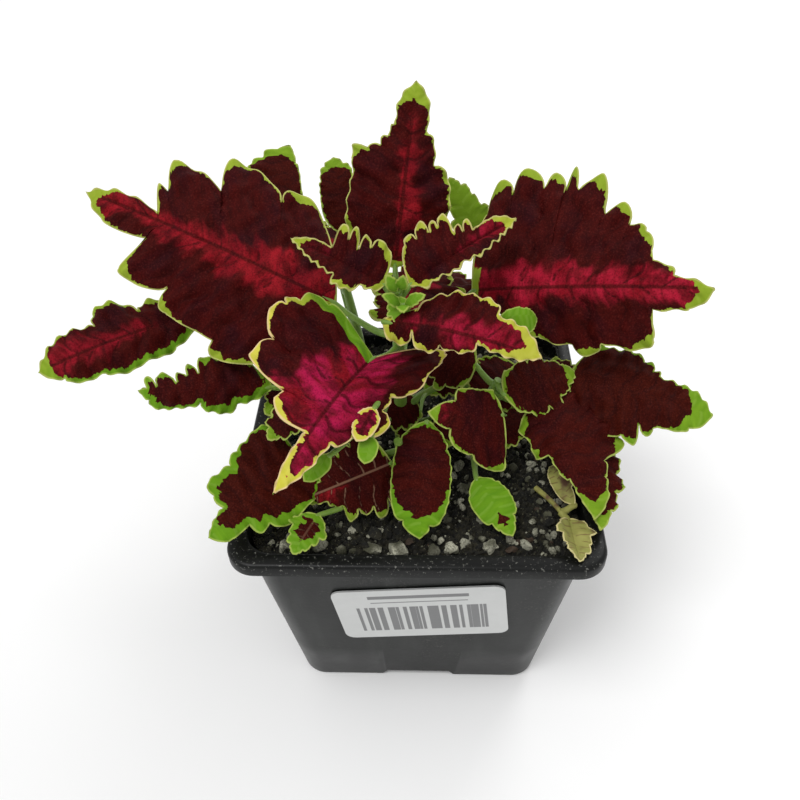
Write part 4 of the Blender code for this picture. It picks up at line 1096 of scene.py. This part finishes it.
def with_pale_veins(tree, colour, crooked):
    """Pale lines on the midrib and the side veins, as strong as the leaf carries them."""
    off_lines = math_node(tree, "MINIMUM", ramp(tree, crooked, .06, .26),
                          ramp(tree, carried(tree, "mid"), .15, .42))
    return mix_colour(tree, times(tree, rest_of(tree, off_lines), carried(tree, "pale")), colour,
                      PALE_VEIN)


print("rim: its border wanders by %.1f mm" % RIM_RAGGED)

# %% [markdown]
# Now the layers go on in the order in which a painter would lay them: ground, flame, dark veins,
# specks of painted glint and painted shade, pale veins, rim, and the paler under side. Fine hairs
# scatter light at the edge of what one sees, so a weak sheen, a high roughness and hardly any gloss
# make the velvet.

# %% Leaf material
UNDER_RED, UNDER_PALE = (.10, .035, .030), (.15, .10, .045)
UNDER_VEIN, UNDER_RIM = (.26, .30, .12), (.26, .36, .06)
SHEEN_TINT = (.9, .6, .6, 1)


def under_colour(tree, vein, patches, mask):
    """The under side: paler and duller, with raised pale green veins and the same rim."""
    below = mix_colour(tree, ramp(tree, patches, .3, .8), UNDER_RED, UNDER_PALE)
    below = mix_colour(tree, rest_of(tree, vein), below, UNDER_VEIN)
    return mix_colour(tree, mask, below, UNDER_RIM)


def make_leaf_material():
    """Velvet maroon with a crimson flame, a green or cream rim, dark veins and a paler under side."""
    material, tree, shader = new_material("coleus_velvet")
    place = place_of(tree)
    streaks, blots = rib_noise(tree, 55, 14), rib_noise(tree, 11, 7)
    patches = rib_noise(tree, 16, 9, 2)
    speckle = noise(tree, place, 2300, 2, .7)
    fine = noise(tree, place, 5200, 2, .6)
    crooked = moved_by(tree, carried(tree, "vein"), streaks, .5)
    vein = ramp(tree, crooked, .05, .65)

    colour = mix_colour(tree, flame_mask(tree, vein, patches), ground_colour(tree, streaks, blots),
                        flame_colour(tree, streaks, blots))
    colour = mix_colour(tree, at_least(tree, vein, .6), DARK_VEIN, colour)
    # painted glints and painted shade of the hairs go on as specks
    colour = with_pale_veins(tree, with_painted_glints_and_shade(tree, colour, speckle), crooked)
    mask = rim_mask(tree, streaks)
    colour = mix_colour(tree, mask, colour, rim_colour(tree, streaks, vein))
    below = under_colour(tree, vein, patches, mask)
    colour = mix_colour(tree, carried(tree, "under"), colour, below)

    finish_shader(tree, shader, colour, math_node(tree, "MULTIPLY_ADD", fine, .5, speckle), .5, .00014,
                  math_node(tree, "MULTIPLY_ADD", speckle, .2, .5))
    shader.inputs["Specular IOR Level"].default_value = .04
    shader.inputs["Sheen Weight"].default_value = .015
    shader.inputs["Sheen Roughness"].default_value = .35
    shader.inputs["Sheen Tint"].default_value = SHEEN_TINT
    return material


leaf_material = make_leaf_material()
print("leaf material: %d nodes" % len(leaf_material.node_tree.nodes))

# %% [markdown]
# ## Green stems
# Stalks and stems are juicy and pale green, a little redder where the light reaches them, with
# short hairs. They need no map of their own: nearly all of them rise, so a noise in the object's own
# coordinates that is drawn out upwards gives the long cells, and a little light goes in under the skin.

# %% Stem material
STEM_DARK, STEM_LIGHT, STEM_RED = (.11, .23, .020), (.24, .38, .050), (.16, .12, .03)
STEM_CELLS = (900, 900, 140)            # cells in a metre: six times as long as wide
STEM_GLOW = (.002, .003, .001)          # how deep red, green and blue light go in, in metres


def make_stem_material():
    """Juicy green with long pale streaks and faint red blotches."""
    material, tree, shader = new_material("green_stem")
    place = place_of(tree)
    streaks = noise(tree, stretched(tree, place, STEM_CELLS), 1)
    colour = mix_colour(tree, streaks, STEM_DARK, STEM_LIGHT)
    colour = mix_colour(tree, ramp(tree, noise(tree, place, 90, 2), .6, .85), colour, STEM_RED)
    finish_shader(tree, shader, colour, streaks, .3, .0002, .45)
    shader.inputs["Subsurface Weight"].default_value = .1
    shader.inputs["Subsurface Radius"].default_value = STEM_GLOW
    shader.inputs["Sheen Weight"].default_value = .1
    return material


stem_material = make_stem_material()
print("stem material: %d nodes" % len(stem_material.node_tree.nodes))

# %% [markdown]
# ## The leafy stems
# Each stem is one piece, as its solid is: its own tube, and for each leaf a blade and a stalk. A
# hundred objects could be made and joined, but whole arrays are simpler: they are laid one after the
# other, and the triangles' point numbers move up by what came before. Stems carry values too, set
# far from every border, so that one mesh can hold both kinds.

# %% Build the leafy stems
FAR_FROM_BORDERS = {"rim": -9., "fire": -9., "edge": 9., "vein": 9., "mid": 9.}
BLADES, STALKS = 0, 1       # material numbers
STEM_STEPS, STEM_SIDES = 10, 16


def plain(arrays, number):
    """A part without map coordinates or carried values."""
    return (*arrays, None, None, number)


def joined(parts):
    """Lays (points, triangles, coordinates, values, material number) parts one after the other."""
    sizes = [len(part[0]) for part in parts]
    starts = np.concatenate([[0], np.cumsum(sizes)[:-1]])
    points = np.concatenate([part[0] for part in parts])
    triangles = np.concatenate([part[1] + start for part, start in zip(parts, starts)])
    coordinates = np.concatenate([np.zeros((size, 2)) if part[2] is None else part[2]
                                  for part, size in zip(parts, sizes)])
    values = {key: np.concatenate([np.full(size, FAR_FROM_BORDERS.get(key, 0.)) if part[3] is None
                                   else part[3][key] for part, size in zip(parts, sizes)])
              for key in CARRIED}
    number = np.concatenate([np.full(len(part[1]), part[4]) for part in parts])
    return points, triangles, coordinates, values, number


def make_leafy_stem(stem, materials, crumple=1.0):
    """One leafy stem from its tube, its stalks and its blades, in place of the node of that name."""
    path = smooth_path(stem.path, STEM_STEPS)
    parts = [plain(tube_arrays(path, np.linspace(*stem.radii, len(path)), STEM_SIDES), STALKS)]
    for points, radii in SHOOTS.get(stem.name, ()):
        path = smooth_path(points)
        parts.append(plain(tube_arrays(path, np.linspace(*radii, len(path))), STALKS))
    for leaf in (*stem.leaves, *SMALL_LEAVES.get(stem.name, ())):
        parts.append((*blade_arrays(leaf, crumple), BLADES))
        parts.append(plain(stalk_arrays(stem, leaf), STALKS))
    points, triangles, coordinates, values, number = joined(parts)
    item = new_piece(stem.name + "_look", points, triangles, materials, coordinates, values, number)
    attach(item, "root")
    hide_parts(stem.name)
    return item


for stem in STEMS:
    make_leafy_stem(stem, (leaf_material, stem_material))

# %% [markdown]
# ## The fallen leaf
# It has dried to a thin curled paper: straw yellow, brown along its veins, and no longer velvet. A
# cloth simulation could crumple it, but a leaf as small as a fingernail shows no single folds. So it
# is made as a living leaf is, from the same functions, with four times the swellings.

# %% Dry leaf
STRAW_DARK, STRAW_LIGHT, STRAW_EDGE = (.19, .20, .035), (.42, .40, .11), (.62, .55, .25)
DRY_VEIN, DRY_BLOTCH = (.20, .14, .04), (.12, .055, .03)
DRY_CRUMPLE = 4.0


def make_dry_material():
    """Straw-coloured paper with brown veins and edges."""
    material, tree, shader = new_material("dry_leaf_paper")
    place = place_of(tree)
    clouds = noise(tree, place, 260, 4)
    colour = mix_colour(tree, clouds, STRAW_DARK, STRAW_LIGHT)
    colour = mix_colour(tree, ramp(tree, carried(tree, "vein"), .05, .3), DRY_VEIN, colour)
    colour = mix_colour(tree, ramp(tree, noise(tree, place, 140), .5, .7), colour, DRY_BLOTCH)
    colour = mix_colour(tree, ramp(tree, carried(tree, "edge"), .35, .2), colour, STRAW_EDGE)
    finish_shader(tree, shader, colour, clouds, .5, .0005, .75)
    return material


dry_material = make_dry_material()
make_leafy_stem(DRY_LEAF, (dry_material, dry_material), DRY_CRUMPLE)

# %% [markdown]
# ## The pot
# The pot is one thin moulded shell. Its section is a short row of (height, half width) points, and
# it is carried round a square with round corners. Points of the row lie closer where the plastic
# turns. The lower edge rises into a low arch in the middle of each side, which leaves four feet. A
# box with bevels would be quicker, but its walls would have neither the slope nor the rolled lip.

# %% Pot section
POT_SECTION = (
    (3.0, 10.0), (3.0, 35.6), (2.9, 35.75), (.15, 35.9), (0, 36.05), (0, 37.9), (.2, 38.3),
    (.8, 38.79), (20, 40.9), (45, 43.64), (68, 46.16), (73.6, 46.78), (76.5, 47.1), (76.7, 47.3),
    (76.7, 49.5), (76.5, 49.72), (74.0, 49.98), (73.8, 50.15), (73.8, 50.8), (73.95, 51.0),
    (76.9, 51.0), (77.4, 50.85), (77.8, 50.5), (78, 50.0), (78, 47.1), (77.85, 46.5), (77.4, 46.2),
    (76.8, 46.1), (45, 42.6), (4.6, 38.12), (4.1, 37.7), (4, 37.2), (4, 10.0),
)
POT_CORNER = 8.0            # mm, the radius of its corners
CORNER_SHARE = .3           # the share of a ring's points that goes to its corners
ARCH_HALF, ARCH_HIGH, ARCH_SLOPE = 12.0, 2.7, 1.5


def round_square(t):
    """For t from 0 to 1 round the square: which quarter, how far round its corner (an angle), how far
    along its straight side (a share), and whether that side comes before the corner."""
    quarter = np.floor(4 * t).astype(int) % 4
    u = (4 * t) % 1
    side = (1 - CORNER_SHARE) / 2
    angle = np.pi / 2 * np.clip((u - side) / CORNER_SHARE, 0, 1)
    flat = np.where(u < side, u / side, np.where(u > 1 - side, (1 - u) / side, 1.))
    return quarter, angle, flat, u <= .5


def ring_at(half, t):
    """A ring of points: straight sides, and quarter circles of the corner radius."""
    quarter, angle, flat, before = round_square(t)
    radius = min(POT_CORNER, half)
    straight = half - radius
    on_side = [before & (flat < 1), ~before & (flat < 1)]
    x = np.select(on_side, [half, straight * flat], straight + radius * np.cos(angle))
    y = np.select(on_side, [straight * flat, half], straight + radius * np.sin(angle))
    c, s = np.cos(quarter * np.pi / 2), np.sin(quarter * np.pi / 2)
    return np.stack([c * x - s * y, s * x + c * y], -1)


def arch_height(points):
    """How high the lower edge stands: an arch with sloping ends in the middle of each side."""
    off_middle = np.minimum(np.abs(points[..., 0]), np.abs(points[..., 1]))
    return ARCH_HIGH * np.clip((ARCH_HALF - off_middle) / ARCH_SLOPE, 0, 1)


print("pot: %.0f mm high, %.0f mm wide" % (
    max(z for z, _ in POT_SECTION), 2 * max(half for _, half in POT_SECTION)))

# %% [markdown]
# The rings are joined into a shell, and its floor is closed with a fan of triangles. The four drain
# holes and the round foot in the middle are the one place for the Boolean modifier: a hole through a
# flat floor would otherwise need its own row of points. The modifier is applied at once.

# %% Pot shape
POT_AROUND = 240            # points in a ring
LOW_EDGE = (35.7, 38.9, 1)  # half widths and height between which the lower edge rises into arches
FLOOR_LOW, FLOOR_HIGH = 3.0, 4.0
DRAIN_REACH = 21.0          # mm from the middle of the floor to a drain hole
FLOOR_STEPS = (   # what is done with round rods: operation, places, radius, lowest, highest
    ("DIFFERENCE", ((DRAIN_REACH, 0), (-DRAIN_REACH, 0), (0, DRAIN_REACH), (0, -DRAIN_REACH)),
     4.5, 1.0, 6.0),
    ("UNION", ((0, 0),), 7.0, 0.0, 3.5),
)
ROD_SIDES = 48


def make_pot(material):
    """The shell from its section, with its floor closed, and round holes cut through the floor."""
    t = np.linspace(0, 1, POT_AROUND, endpoint=False)
    rings = []
    for z, half in POT_SECTION:
        flat = ring_at(half, t)
        is_low_edge = LOW_EDGE[0] < half < LOW_EDGE[1] and z < LOW_EDGE[2]
        height = np.maximum(z, arch_height(flat)) if is_low_edge else np.full(len(t), z)
        rings.append(np.concatenate([flat, height[:, None]], 1))
    points = np.array(rings)
    index = np.arange(points.shape[0] * points.shape[1]).reshape(points.shape[:2])
    index = np.concatenate([index, index[:, :1]], 1)
    body = grid_triangles(index)[:, ::-1]
    count = len(t)
    total = points.shape[0] * count
    low_fan = np.stack([np.full(count, total), index[0, 1:], index[0, :-1]], 1)
    high_fan = np.stack([np.full(count, total + 1), index[-1, :-1], index[-1, 1:]], 1)
    points = np.concatenate([points.reshape(-1, 3), [(0, 0, FLOOR_LOW)], [(0, 0, FLOOR_HIGH)]])
    item = new_piece("pot_look", points, np.concatenate([body, low_fan, high_fan]), [material])
    cut_floor(item)
    return item


def cut_floor(item):
    """Cuts four drain holes through the floor and joins the round middle foot."""
    for operation, places, radius, low, high in FLOOR_STEPS:
        rods = [np.array([(x, y, z) for z in (low, (low + high) / 2, high)]) for x, y in places]
        points, triangles, *_ = joined([plain(tube_arrays(rod, (radius,) * 3, ROD_SIDES), 0)
                                        for rod in rods])
        tool = new_piece("floor_tool", points, triangles, [])
        step = item.modifiers.new("floor", "BOOLEAN")
        step.operation, step.object, step.solver = operation, tool, "EXACT"
        depsgraph = bpy.context.evaluated_depsgraph_get()
        mesh = bpy.data.meshes.new_from_object(item.evaluated_get(depsgraph))
        item.modifiers.clear()
        item.data = mesh
        bpy.data.objects.remove(tool, do_unlink=True)


print("floor of the pot: %d drain holes" % len(FLOOR_STEPS[0][1]))

# %% [markdown]
# Black plastic is never quite black: it is glossy, it carries dust, and water has dried on it in faint
# upright streaks. The lip and the foot are painted darker, as painted shade, and there are dust specks
# on the lip. All of it is noise in the object's own coordinates, so no map is needed, and the height
# above the ground says what is lip and what is foot.

# %% Pot material
PLASTIC_BLACK, PLASTIC_WORN = (.006, .007, .0062), (.018, .020, .018)
DUST, LIP_DUST = (.06, .058, .053), (.15, .15, .135)
# painted shade: colours that darken the lip and the foot
LIP_PAINTED_SHADE, FOOT_PAINTED_SHADE = (.0030, .0032, .0030), (.005, .0055, .005)
WATER_STREAKS = (160, 160, 14)      # in a metre: eleven times as long as wide
LIP_STARTS, LIP_ENDS, FOOT_ENDS = .0735, .0765, .022        # metres above the ground


def make_pot_material():
    """Satin black plastic with upright water streaks, dust, painted shade on lip and foot, an uneven
    surface.
    """
    material, tree, shader = new_material("black_pot_plastic")
    place = place_of(tree)
    streaks = noise(tree, stretched(tree, place, WATER_STREAKS), 1, 4)
    dust = noise(tree, place, 60, 5, .65)
    grit = noise(tree, place, 1400, 2, .7)
    high = node(tree, "SeparateXYZ", {0: place}).outputs["Z"]
    lip = ramp(tree, high, LIP_STARTS, LIP_ENDS)
    colour = mix_colour(tree, ramp(tree, streaks, .45, .75), PLASTIC_BLACK, PLASTIC_WORN)
    colour = mix_colour(tree, ramp(tree, times(tree, dust, grit), .30, .48), colour, DUST)
    # painted shade: the lip is darkened towards its top
    colour = mix_colour(tree, times(tree, lip, .8), colour, LIP_PAINTED_SHADE)
    lip_dust = times(tree, ramp(tree, noise(tree, place, 1000, 3, .75), .60, .66), lip)
    colour = mix_colour(tree, lip_dust, colour, LIP_DUST)
    # painted shade: darker towards the foot, near the floor
    colour = mix_colour(tree, ramp(tree, high, FOOT_ENDS, 0), colour, FOOT_PAINTED_SHADE)
    finish_shader(tree, shader, colour, noise(tree, place, 500), .12, .0002,
                  math_node(tree, "MULTIPLY_ADD", dust, .3, .2))
    shader.inputs["Specular IOR Level"].default_value = .22
    return material


pot_material = make_pot_material()
pot = make_pot(pot_material)
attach(pot, "root")
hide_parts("pot")

# %% [markdown]
# ## The potting mix
# Peat, bark crumbs and white volcanic grains. The top is a fine grid that follows the solid's heap,
# and it runs down the pot's wall to the floor. A Displace modifier could roughen it, but sums of
# sine waves at several sizes are known at any point, so that grains can be set on the same surface.

# %% Potting mix
SOIL_TOP, SOIL_MOUND = 73.6, 1.8
SOIL_LOW, SOIL_CORNER = 4.3, 8.6
SOIL_TOP_HALF, SOIL_LOW_HALF = 45.4, 37.7
SOIL_GRID = 190             # points along each side of the top
SOIL_SEED = 5
SOIL_WAVES = ((9, .7, 6), (4.2, .7, 8), (2.1, .5, 10), (1.1, .25, 12))     # pitch, height, how many
WAVE_MEAN, WAVE_SCALE = .6, 1.6     # bring a folded sine wave to an even height about nothing


def soil_plan(u, v, half):
    """Maps the square from -1 to 1 onto the pot's square with round corners."""
    reach = np.maximum(np.abs(u), np.abs(v))
    across = np.minimum(np.abs(u), np.abs(v)) / np.maximum(reach, TINY)
    flat = half - SOIL_CORNER
    length = np.hypot(1, across)
    c = flat * (1 + across) / length
    root = np.sqrt(np.maximum(c * c - 2 * flat ** 2 + SOIL_CORNER ** 2, 0))
    edge = np.where(across * half > flat, np.minimum((c + root) / length, half), half)
    return u * edge, v * edge


def soil_height(x, y, u, v):
    """The heap, plus sums of folded sine waves of ever shorter pitch, in directions drawn once."""
    draw = np.random.default_rng(SOIL_SEED)
    z = SOIL_TOP + SOIL_MOUND * (1 - np.maximum(np.abs(u), np.abs(v)) ** 2)
    for pitch, size, count in SOIL_WAVES:
        for _ in range(count):
            angle, phase = draw.uniform(0, 2 * np.pi, 2)
            wave = np.sin((x * np.cos(angle) + y * np.sin(angle)) * 2 * np.pi / pitch + phase)
            z = z + size * (np.abs(wave) - WAVE_MEAN) * WAVE_SCALE / math.sqrt(count)
    return z


def make_soil():
    """The top grid, its wall and its foot in one closed mesh."""
    line = np.linspace(-1, 1, SOIL_GRID)
    u, v = np.meshgrid(line, line, indexing="ij")
    x, y = soil_plan(u, v, SOIL_TOP_HALF)
    z = soil_height(x, y, u, v)
    index = np.arange(u.size).reshape(u.shape)
    rim = np.concatenate([index[:-1, 0], index[-1, :-1], index[:0:-1, -1], index[0, :0:-1]])
    foot_x, foot_y = soil_plan(u.ravel()[rim], v.ravel()[rim], SOIL_LOW_HALF)
    foot = np.stack([foot_x, foot_y, np.full(len(rim), SOIL_LOW)], 1)
    top = np.stack([x, y, z], -1).reshape(-1, 3)
    low = len(top) + np.arange(len(rim))
    wall = np.stack([np.append(rim, rim[0]), np.append(low, low[0])])
    centre = len(top) + len(rim)
    fan = np.stack([np.full(len(rim), centre), np.append(low[1:], low[0]), low], 1)
    points = np.concatenate([top, foot, [(0, 0, SOIL_LOW)]])
    return points, np.concatenate([grid_triangles(index), grid_triangles(wall)[:, ::-1], fan])


print("potting mix: %d points on top, %d waves" % (SOIL_GRID ** 2, sum(row[2] for row in SOIL_WAVES)))

# %% [markdown]
# ## Lumps
# One lump is a small ball of 80 triangles. Instances of one object could be scattered by Geometry
# Nodes, but then all would look alike. So all copies are made at once as one array: each is
# stretched, turned and dented by a few waves of its own.

# %% Lumps
LUMP_WAVES, LUMP_SCALE = 2.2, 1.7   # how short the waves are, and what evens out their sum
LUMP_ROUGH = (.86, 1.12)            # each point's own share
LUMP_PHASES = 6.3                   # about a full turn
LUMP_WIDTH = (.65, 1)               # a lump's width as a share of its length
LUMP_FLATTER, LUMP_FULLER = .15, .1     # how far its height may be off the flatness asked for


def ball():
    """A ball of 42 points and 80 triangles: an icosahedron whose triangles are cut in four once."""
    g = (1 + math.sqrt(5)) / 2
    points = np.array([(-1, g, 0), (1, g, 0), (-1, -g, 0), (1, -g, 0), (0, -1, g), (0, 1, g),
                       (0, -1, -g), (0, 1, -g), (g, 0, -1), (g, 0, 1), (-g, 0, -1), (-g, 0, 1)])
    faces = np.array([(0, 11, 5), (0, 5, 1), (0, 1, 7), (0, 7, 10), (0, 10, 11), (1, 5, 9), (5, 11, 4),
                      (11, 10, 2), (10, 7, 6), (7, 1, 8), (3, 9, 4), (3, 4, 2), (3, 2, 6), (3, 6, 8),
                      (3, 8, 9), (4, 9, 5), (2, 4, 11), (6, 2, 10), (8, 6, 7), (9, 8, 1)])
    edges = np.sort(faces[:, [0, 1, 1, 2, 2, 0]].reshape(-1, 2), 1)
    unique, number = np.unique(edges, axis=0, return_inverse=True)
    middle = points[unique].mean(1)
    number = number.reshape(-1, 3) + len(points)
    a, b, c = faces.T
    ab, bc, ca = number.T
    cut = ((a, ab, ca), (b, bc, ab), (c, ca, bc), (ab, bc, ca))
    faces = np.concatenate([np.stack(corners, 1) for corners in cut])
    points = np.concatenate([points, middle])
    return points / np.linalg.norm(points, axis=1)[:, None], faces


def lumps(centres, sizes, draw, dent=.22, flatness=.75):
    """Many lumps: ball x size x own proportions x (1 + dent x waves), each turned its own way."""
    points, faces = ball()
    count = len(centres)
    waves = draw.normal(size=(count, 3, 3)) * LUMP_WAVES
    phase = draw.uniform(0, LUMP_PHASES, (count, 3))
    dents = np.sin(np.einsum("nkj,pj->npk", waves, points) + phase[:, None]).sum(-1) / LUMP_SCALE
    swell = 1 + dent * dents
    swell = swell * draw.uniform(*LUMP_ROUGH, swell.shape)
    proportions = np.stack([np.ones(count), draw.uniform(*LUMP_WIDTH, count),
                            draw.uniform(flatness - LUMP_FLATTER, flatness + LUMP_FULLER, count)], 1)
    shape = points[None] * swell[..., None] * proportions[:, None]
    turn = np.linalg.qr(draw.normal(size=(count, 3, 3)))[0]
    turn *= np.sign(np.linalg.det(turn))[:, None, None]
    shape = np.einsum("nij,npj->npi", turn, shape) * np.asarray(sizes)[:, None, None]
    shape = shape + np.asarray(centres)[:, None]
    triangles = faces[None] + (np.arange(count) * len(points))[:, None, None]
    return shape.reshape(-1, 3), triangles.reshape(-1, 3)


print("one lump: %d points, %d triangles" % tuple(map(len, ball())))

# %% [markdown]
# ## Grains, crumbs and bark
# Small grains are far more common than large ones, so a size is drawn as a random share raised to a
# power. A dozen large pale grains lie in plain sight at the front, and those have places of their
# own. Everything else may fall anywhere, and is set half into the mix.

# %% Grains
PEAT, GRAIN, BARK = 0, 1, 2         # material numbers
Scatter = namedtuple("Scatter", "count low high power dent flatness number")
FINE_GRAINS = Scatter(880, .3, 1.4, 2.0, .22, .75, GRAIN)
COARSE_GRAINS = Scatter(70, 1.2, 2.5, 1.5, .22, .75, GRAIN)
CRUMBS = Scatter(260, .5, 2.2, 1.8, .3, .7, PEAT)
BARK_BITS = Scatter(120, .4, 1.7, 2.5, .3, .5, BARK)
BIG_GRAIN_RISE = 1.2                # mm above the foot of the heap
GRAIN_SEED = 11
GRAIN_REACH = .97                   # the share of the top on which they fall
GRAIN_SUNK = (-.1, .35)             # how high its middle stands, as a share of its own size
MIX_SHARP = 32                      # degrees
# x and y from the pot's middle, and size, in mm
BIG_GRAINS = ((-4.5, -43, 3.4), (-12, -42.3, 2.6), (9.6, -15.7, 2.2), (14, -21.4, 2.3), (20, -41, 2.0),
              (36.7, -31, 1.9), (29.8, -40.6, 1.8), (-26.7, -41.4, 2.4), (8.5, -32.4, 1.8),
              (17.7, -32.3, 1.9), (9.8, -41.8, 2.0), (-20, -43, 1.7))


def scattered(kind, draw):
    """Lumps at random places: size = low + (high - low) x share to the power."""
    u, v = draw.uniform(-GRAIN_REACH, GRAIN_REACH, (2, kind.count))
    x, y = soil_plan(u, v, SOIL_TOP_HALF)
    sizes = kind.low + (kind.high - kind.low) * draw.uniform(0, 1, kind.count) ** kind.power
    z = soil_height(x, y, u, v) + sizes * draw.uniform(*GRAIN_SUNK, kind.count)
    off_middle = np.maximum(np.maximum(np.abs(x), np.abs(y)), TINY)
    inside = np.minimum(1, (SOIL_TOP_HALF - sizes) / off_middle)
    centres = np.stack([x * inside, y * inside, z], 1)
    return plain(lumps(centres, sizes, draw, kind.dent, kind.flatness), kind.number)


def make_potting_mix(materials):
    """The mix with pale grains, dark crumbs and bark bits, as one piece."""
    draw = np.random.default_rng(GRAIN_SEED)
    parts = [plain(make_soil(), PEAT), scattered(FINE_GRAINS, draw)]
    big = np.array(BIG_GRAINS)
    places = np.stack([big[:, 0], big[:, 1], np.full(len(big), SOIL_TOP + BIG_GRAIN_RISE)], 1)
    parts.append(plain(lumps(places, big[:, 2], draw), GRAIN))
    parts += [scattered(kind, draw) for kind in (COARSE_GRAINS, CRUMBS, BARK_BITS)]
    points, triangles, _, _, number = joined(parts)
    return new_piece("potting_mix_look", points, triangles, materials, part=number, crease=MIX_SHARP)


print("lumps in the mix:", len(BIG_GRAINS) + sum(
    kind.count for kind in (FINE_GRAINS, COARSE_GRAINS, CRUMBS, BARK_BITS)))

# %% [markdown]
# ## Peat, grains and bark
# Peat is nearly black when moist, with brown fibres. The white grains are full of pores, which hold
# brown water. Bark has a grain in one direction. A photograph of soil as an image would show its
# seams and flat grains from the side. Here a noise gives the tone, and the same noise or a finer one
# the bump, so that dark places are also hollow.

# %% Materials of the mix
PEAT_DARK, PEAT_BROWN, PEAT_SPECK = (.0045, .0045, .003), (.027, .023, .010), (.22, .21, .13)
GRAIN_GREY, GRAIN_WHITE, GRAIN_PORE = (.070, .070, .040), (.50, .49, .38), (.045, .042, .026)
BARK_DARK, BARK_LIGHT = (.012, .008, .005), (.075, .042, .022)
BARK_FIBRES = (300, 1200, 600)      # in a metre


def make_peat_material():
    """Nearly black moist peat with brown fibres and tiny pale specks."""
    material, tree, shader = new_material("moist_peat")
    place = place_of(tree)
    clouds = noise(tree, place, 420, 5, .7)
    specks = noise(tree, place, 1500, 2, .8)
    colour = mix_colour(tree, ramp(tree, clouds, .4, .7), PEAT_DARK, PEAT_BROWN)
    colour = mix_colour(tree, ramp(tree, specks, .63, .72), colour, PEAT_SPECK)
    finish_shader(tree, shader, colour, clouds, .9, .0012, .85)
    return material


def make_grain_material():
    """Porous white and grey grains, brown in their pores."""
    material, tree, shader = new_material("white_grains")
    place = place_of(tree)
    tone = noise(tree, place, 150, 1)
    pores = noise(tree, place, 1900, 3, .7)
    colour = mix_colour(tree, ramp(tree, tone, .38, .66), GRAIN_GREY, GRAIN_WHITE)
    colour = mix_colour(tree, times(tree, ramp(tree, pores, .58, .36), .7), colour, GRAIN_PORE)
    finish_shader(tree, shader, colour, pores, .8, .0004, .8)
    return material


def make_bark_material():
    """Dark brown bark and root bits."""
    material, tree, shader = new_material("bark_bits")
    grain = noise(tree, stretched(tree, place_of(tree), BARK_FIBRES), 1, 4)
    finish_shader(tree, shader, mix_colour(tree, grain, BARK_DARK, BARK_LIGHT), grain, .7, .0006, .75)
    return material


mix = make_potting_mix((make_peat_material(), make_grain_material(), make_bark_material()))
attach(mix, "root")
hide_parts("potting_mix")

# %% [markdown]
# ## The label
# The solid is a thin slab with round corners, and it stays. An image could be laid on it, but plain
# bars are sharper at any size when the material draws them: a wide one, a thin rule and a block of
# upright strokes that mean nothing. Object coordinates are moved to the label's middle and turned
# by the small angle at which it is stuck on, so the bars are straight on the paper.

# %% Label material
LABEL_MIDDLE = (1.5, 0, 46.8)       # mm
LABEL_TURN = 6.1                    # degrees
TITLE = ((-14.5, 14.5), (9.6, 11.4))        # from and to across the label, and up it, in mm
RULE = ((-14, 14), (7.2, 7.7))
BLOCK = ((-19, 20), (-10.2, 4.6))
STROKES = ((2.3, .42, .1), (3.7, .22, .6), (5.9, .3, 2.2))      # pitch, dark share of it, shift
STROKES_START = 60                  # mm to the left, so that every stroke is counted from there
INK_EDGE = .06                      # mm
PAPER_DULL, PAPER_CLEAN, INK = (.55, .56, .55), (.62, .63, .62), (.07, .07, .075)


def band(tree, value, low, high):
    """1 between low and high, 0 outside, with an edge of INK_EDGE."""
    middle, half = (low + high) / 2, (high - low) / 2
    off = math_node(tree, "ABSOLUTE", math_node(tree, "SUBTRACT", value, middle))
    return ramp(tree, off, half + INK_EDGE, half - INK_EDGE)


def bar(tree, x, z, across, upward):
    """A rectangle: a band across times a band upward."""
    return times(tree, band(tree, x, *across), band(tree, z, *upward))


def upright_strokes(tree, x):
    """Three rows of even strokes laid over each other, so that their gaps look uneven."""
    strokes = 0.0
    for pitch, share, shift in STROKES:
        along = math_node(tree, "ADD", x, shift + STROKES_START)
        stroke = band(tree, math_node(tree, "MODULO", along, pitch), 0.0, pitch * share)
        strokes = math_node(tree, "MAXIMUM", stroke, strokes)
    return strokes


def make_label_material():
    """Coated white paper with plain grey bars and a soft gloss."""
    material, tree, shader = new_material("label_paper_bars")
    place = place_of(tree)
    moved = node(tree, "Mapping", {"Vector": place, "Location": tuple(-c * MM for c in LABEL_MIDDLE)})
    turned = node(tree, "Mapping", {"Vector": moved.outputs[0], "Scale": (1 / MM,) * 3,
                                    "Rotation": (0, math.radians(LABEL_TURN), 0)})
    parts = node(tree, "SeparateXYZ", {0: turned.outputs[0]}).outputs
    x, z = parts["X"], parts["Z"]
    wear = noise(tree, place, 300)
    bars = math_node(tree, "MAXIMUM", bar(tree, x, z, *TITLE), bar(tree, x, z, *RULE))
    strokes = times(tree, upright_strokes(tree, x), bar(tree, x, z, *BLOCK))
    ink = math_node(tree, "MAXIMUM", strokes, bars, clamp=True)
    colour = mix_colour(tree, times(tree, ink, .8), mix_colour(tree, wear, PAPER_DULL, PAPER_CLEAN), INK)
    finish_shader(tree, shader, colour, noise(tree, place, 120, 2), .15, .0006,
                  math_node(tree, "MULTIPLY_ADD", wear, .15, .25))
    return material


label = bpy.data.objects["label"]
for slot in label.material_slots:
    slot.material = make_label_material()
print("label: %d bars and rows of strokes" % (2 + len(STROKES)))
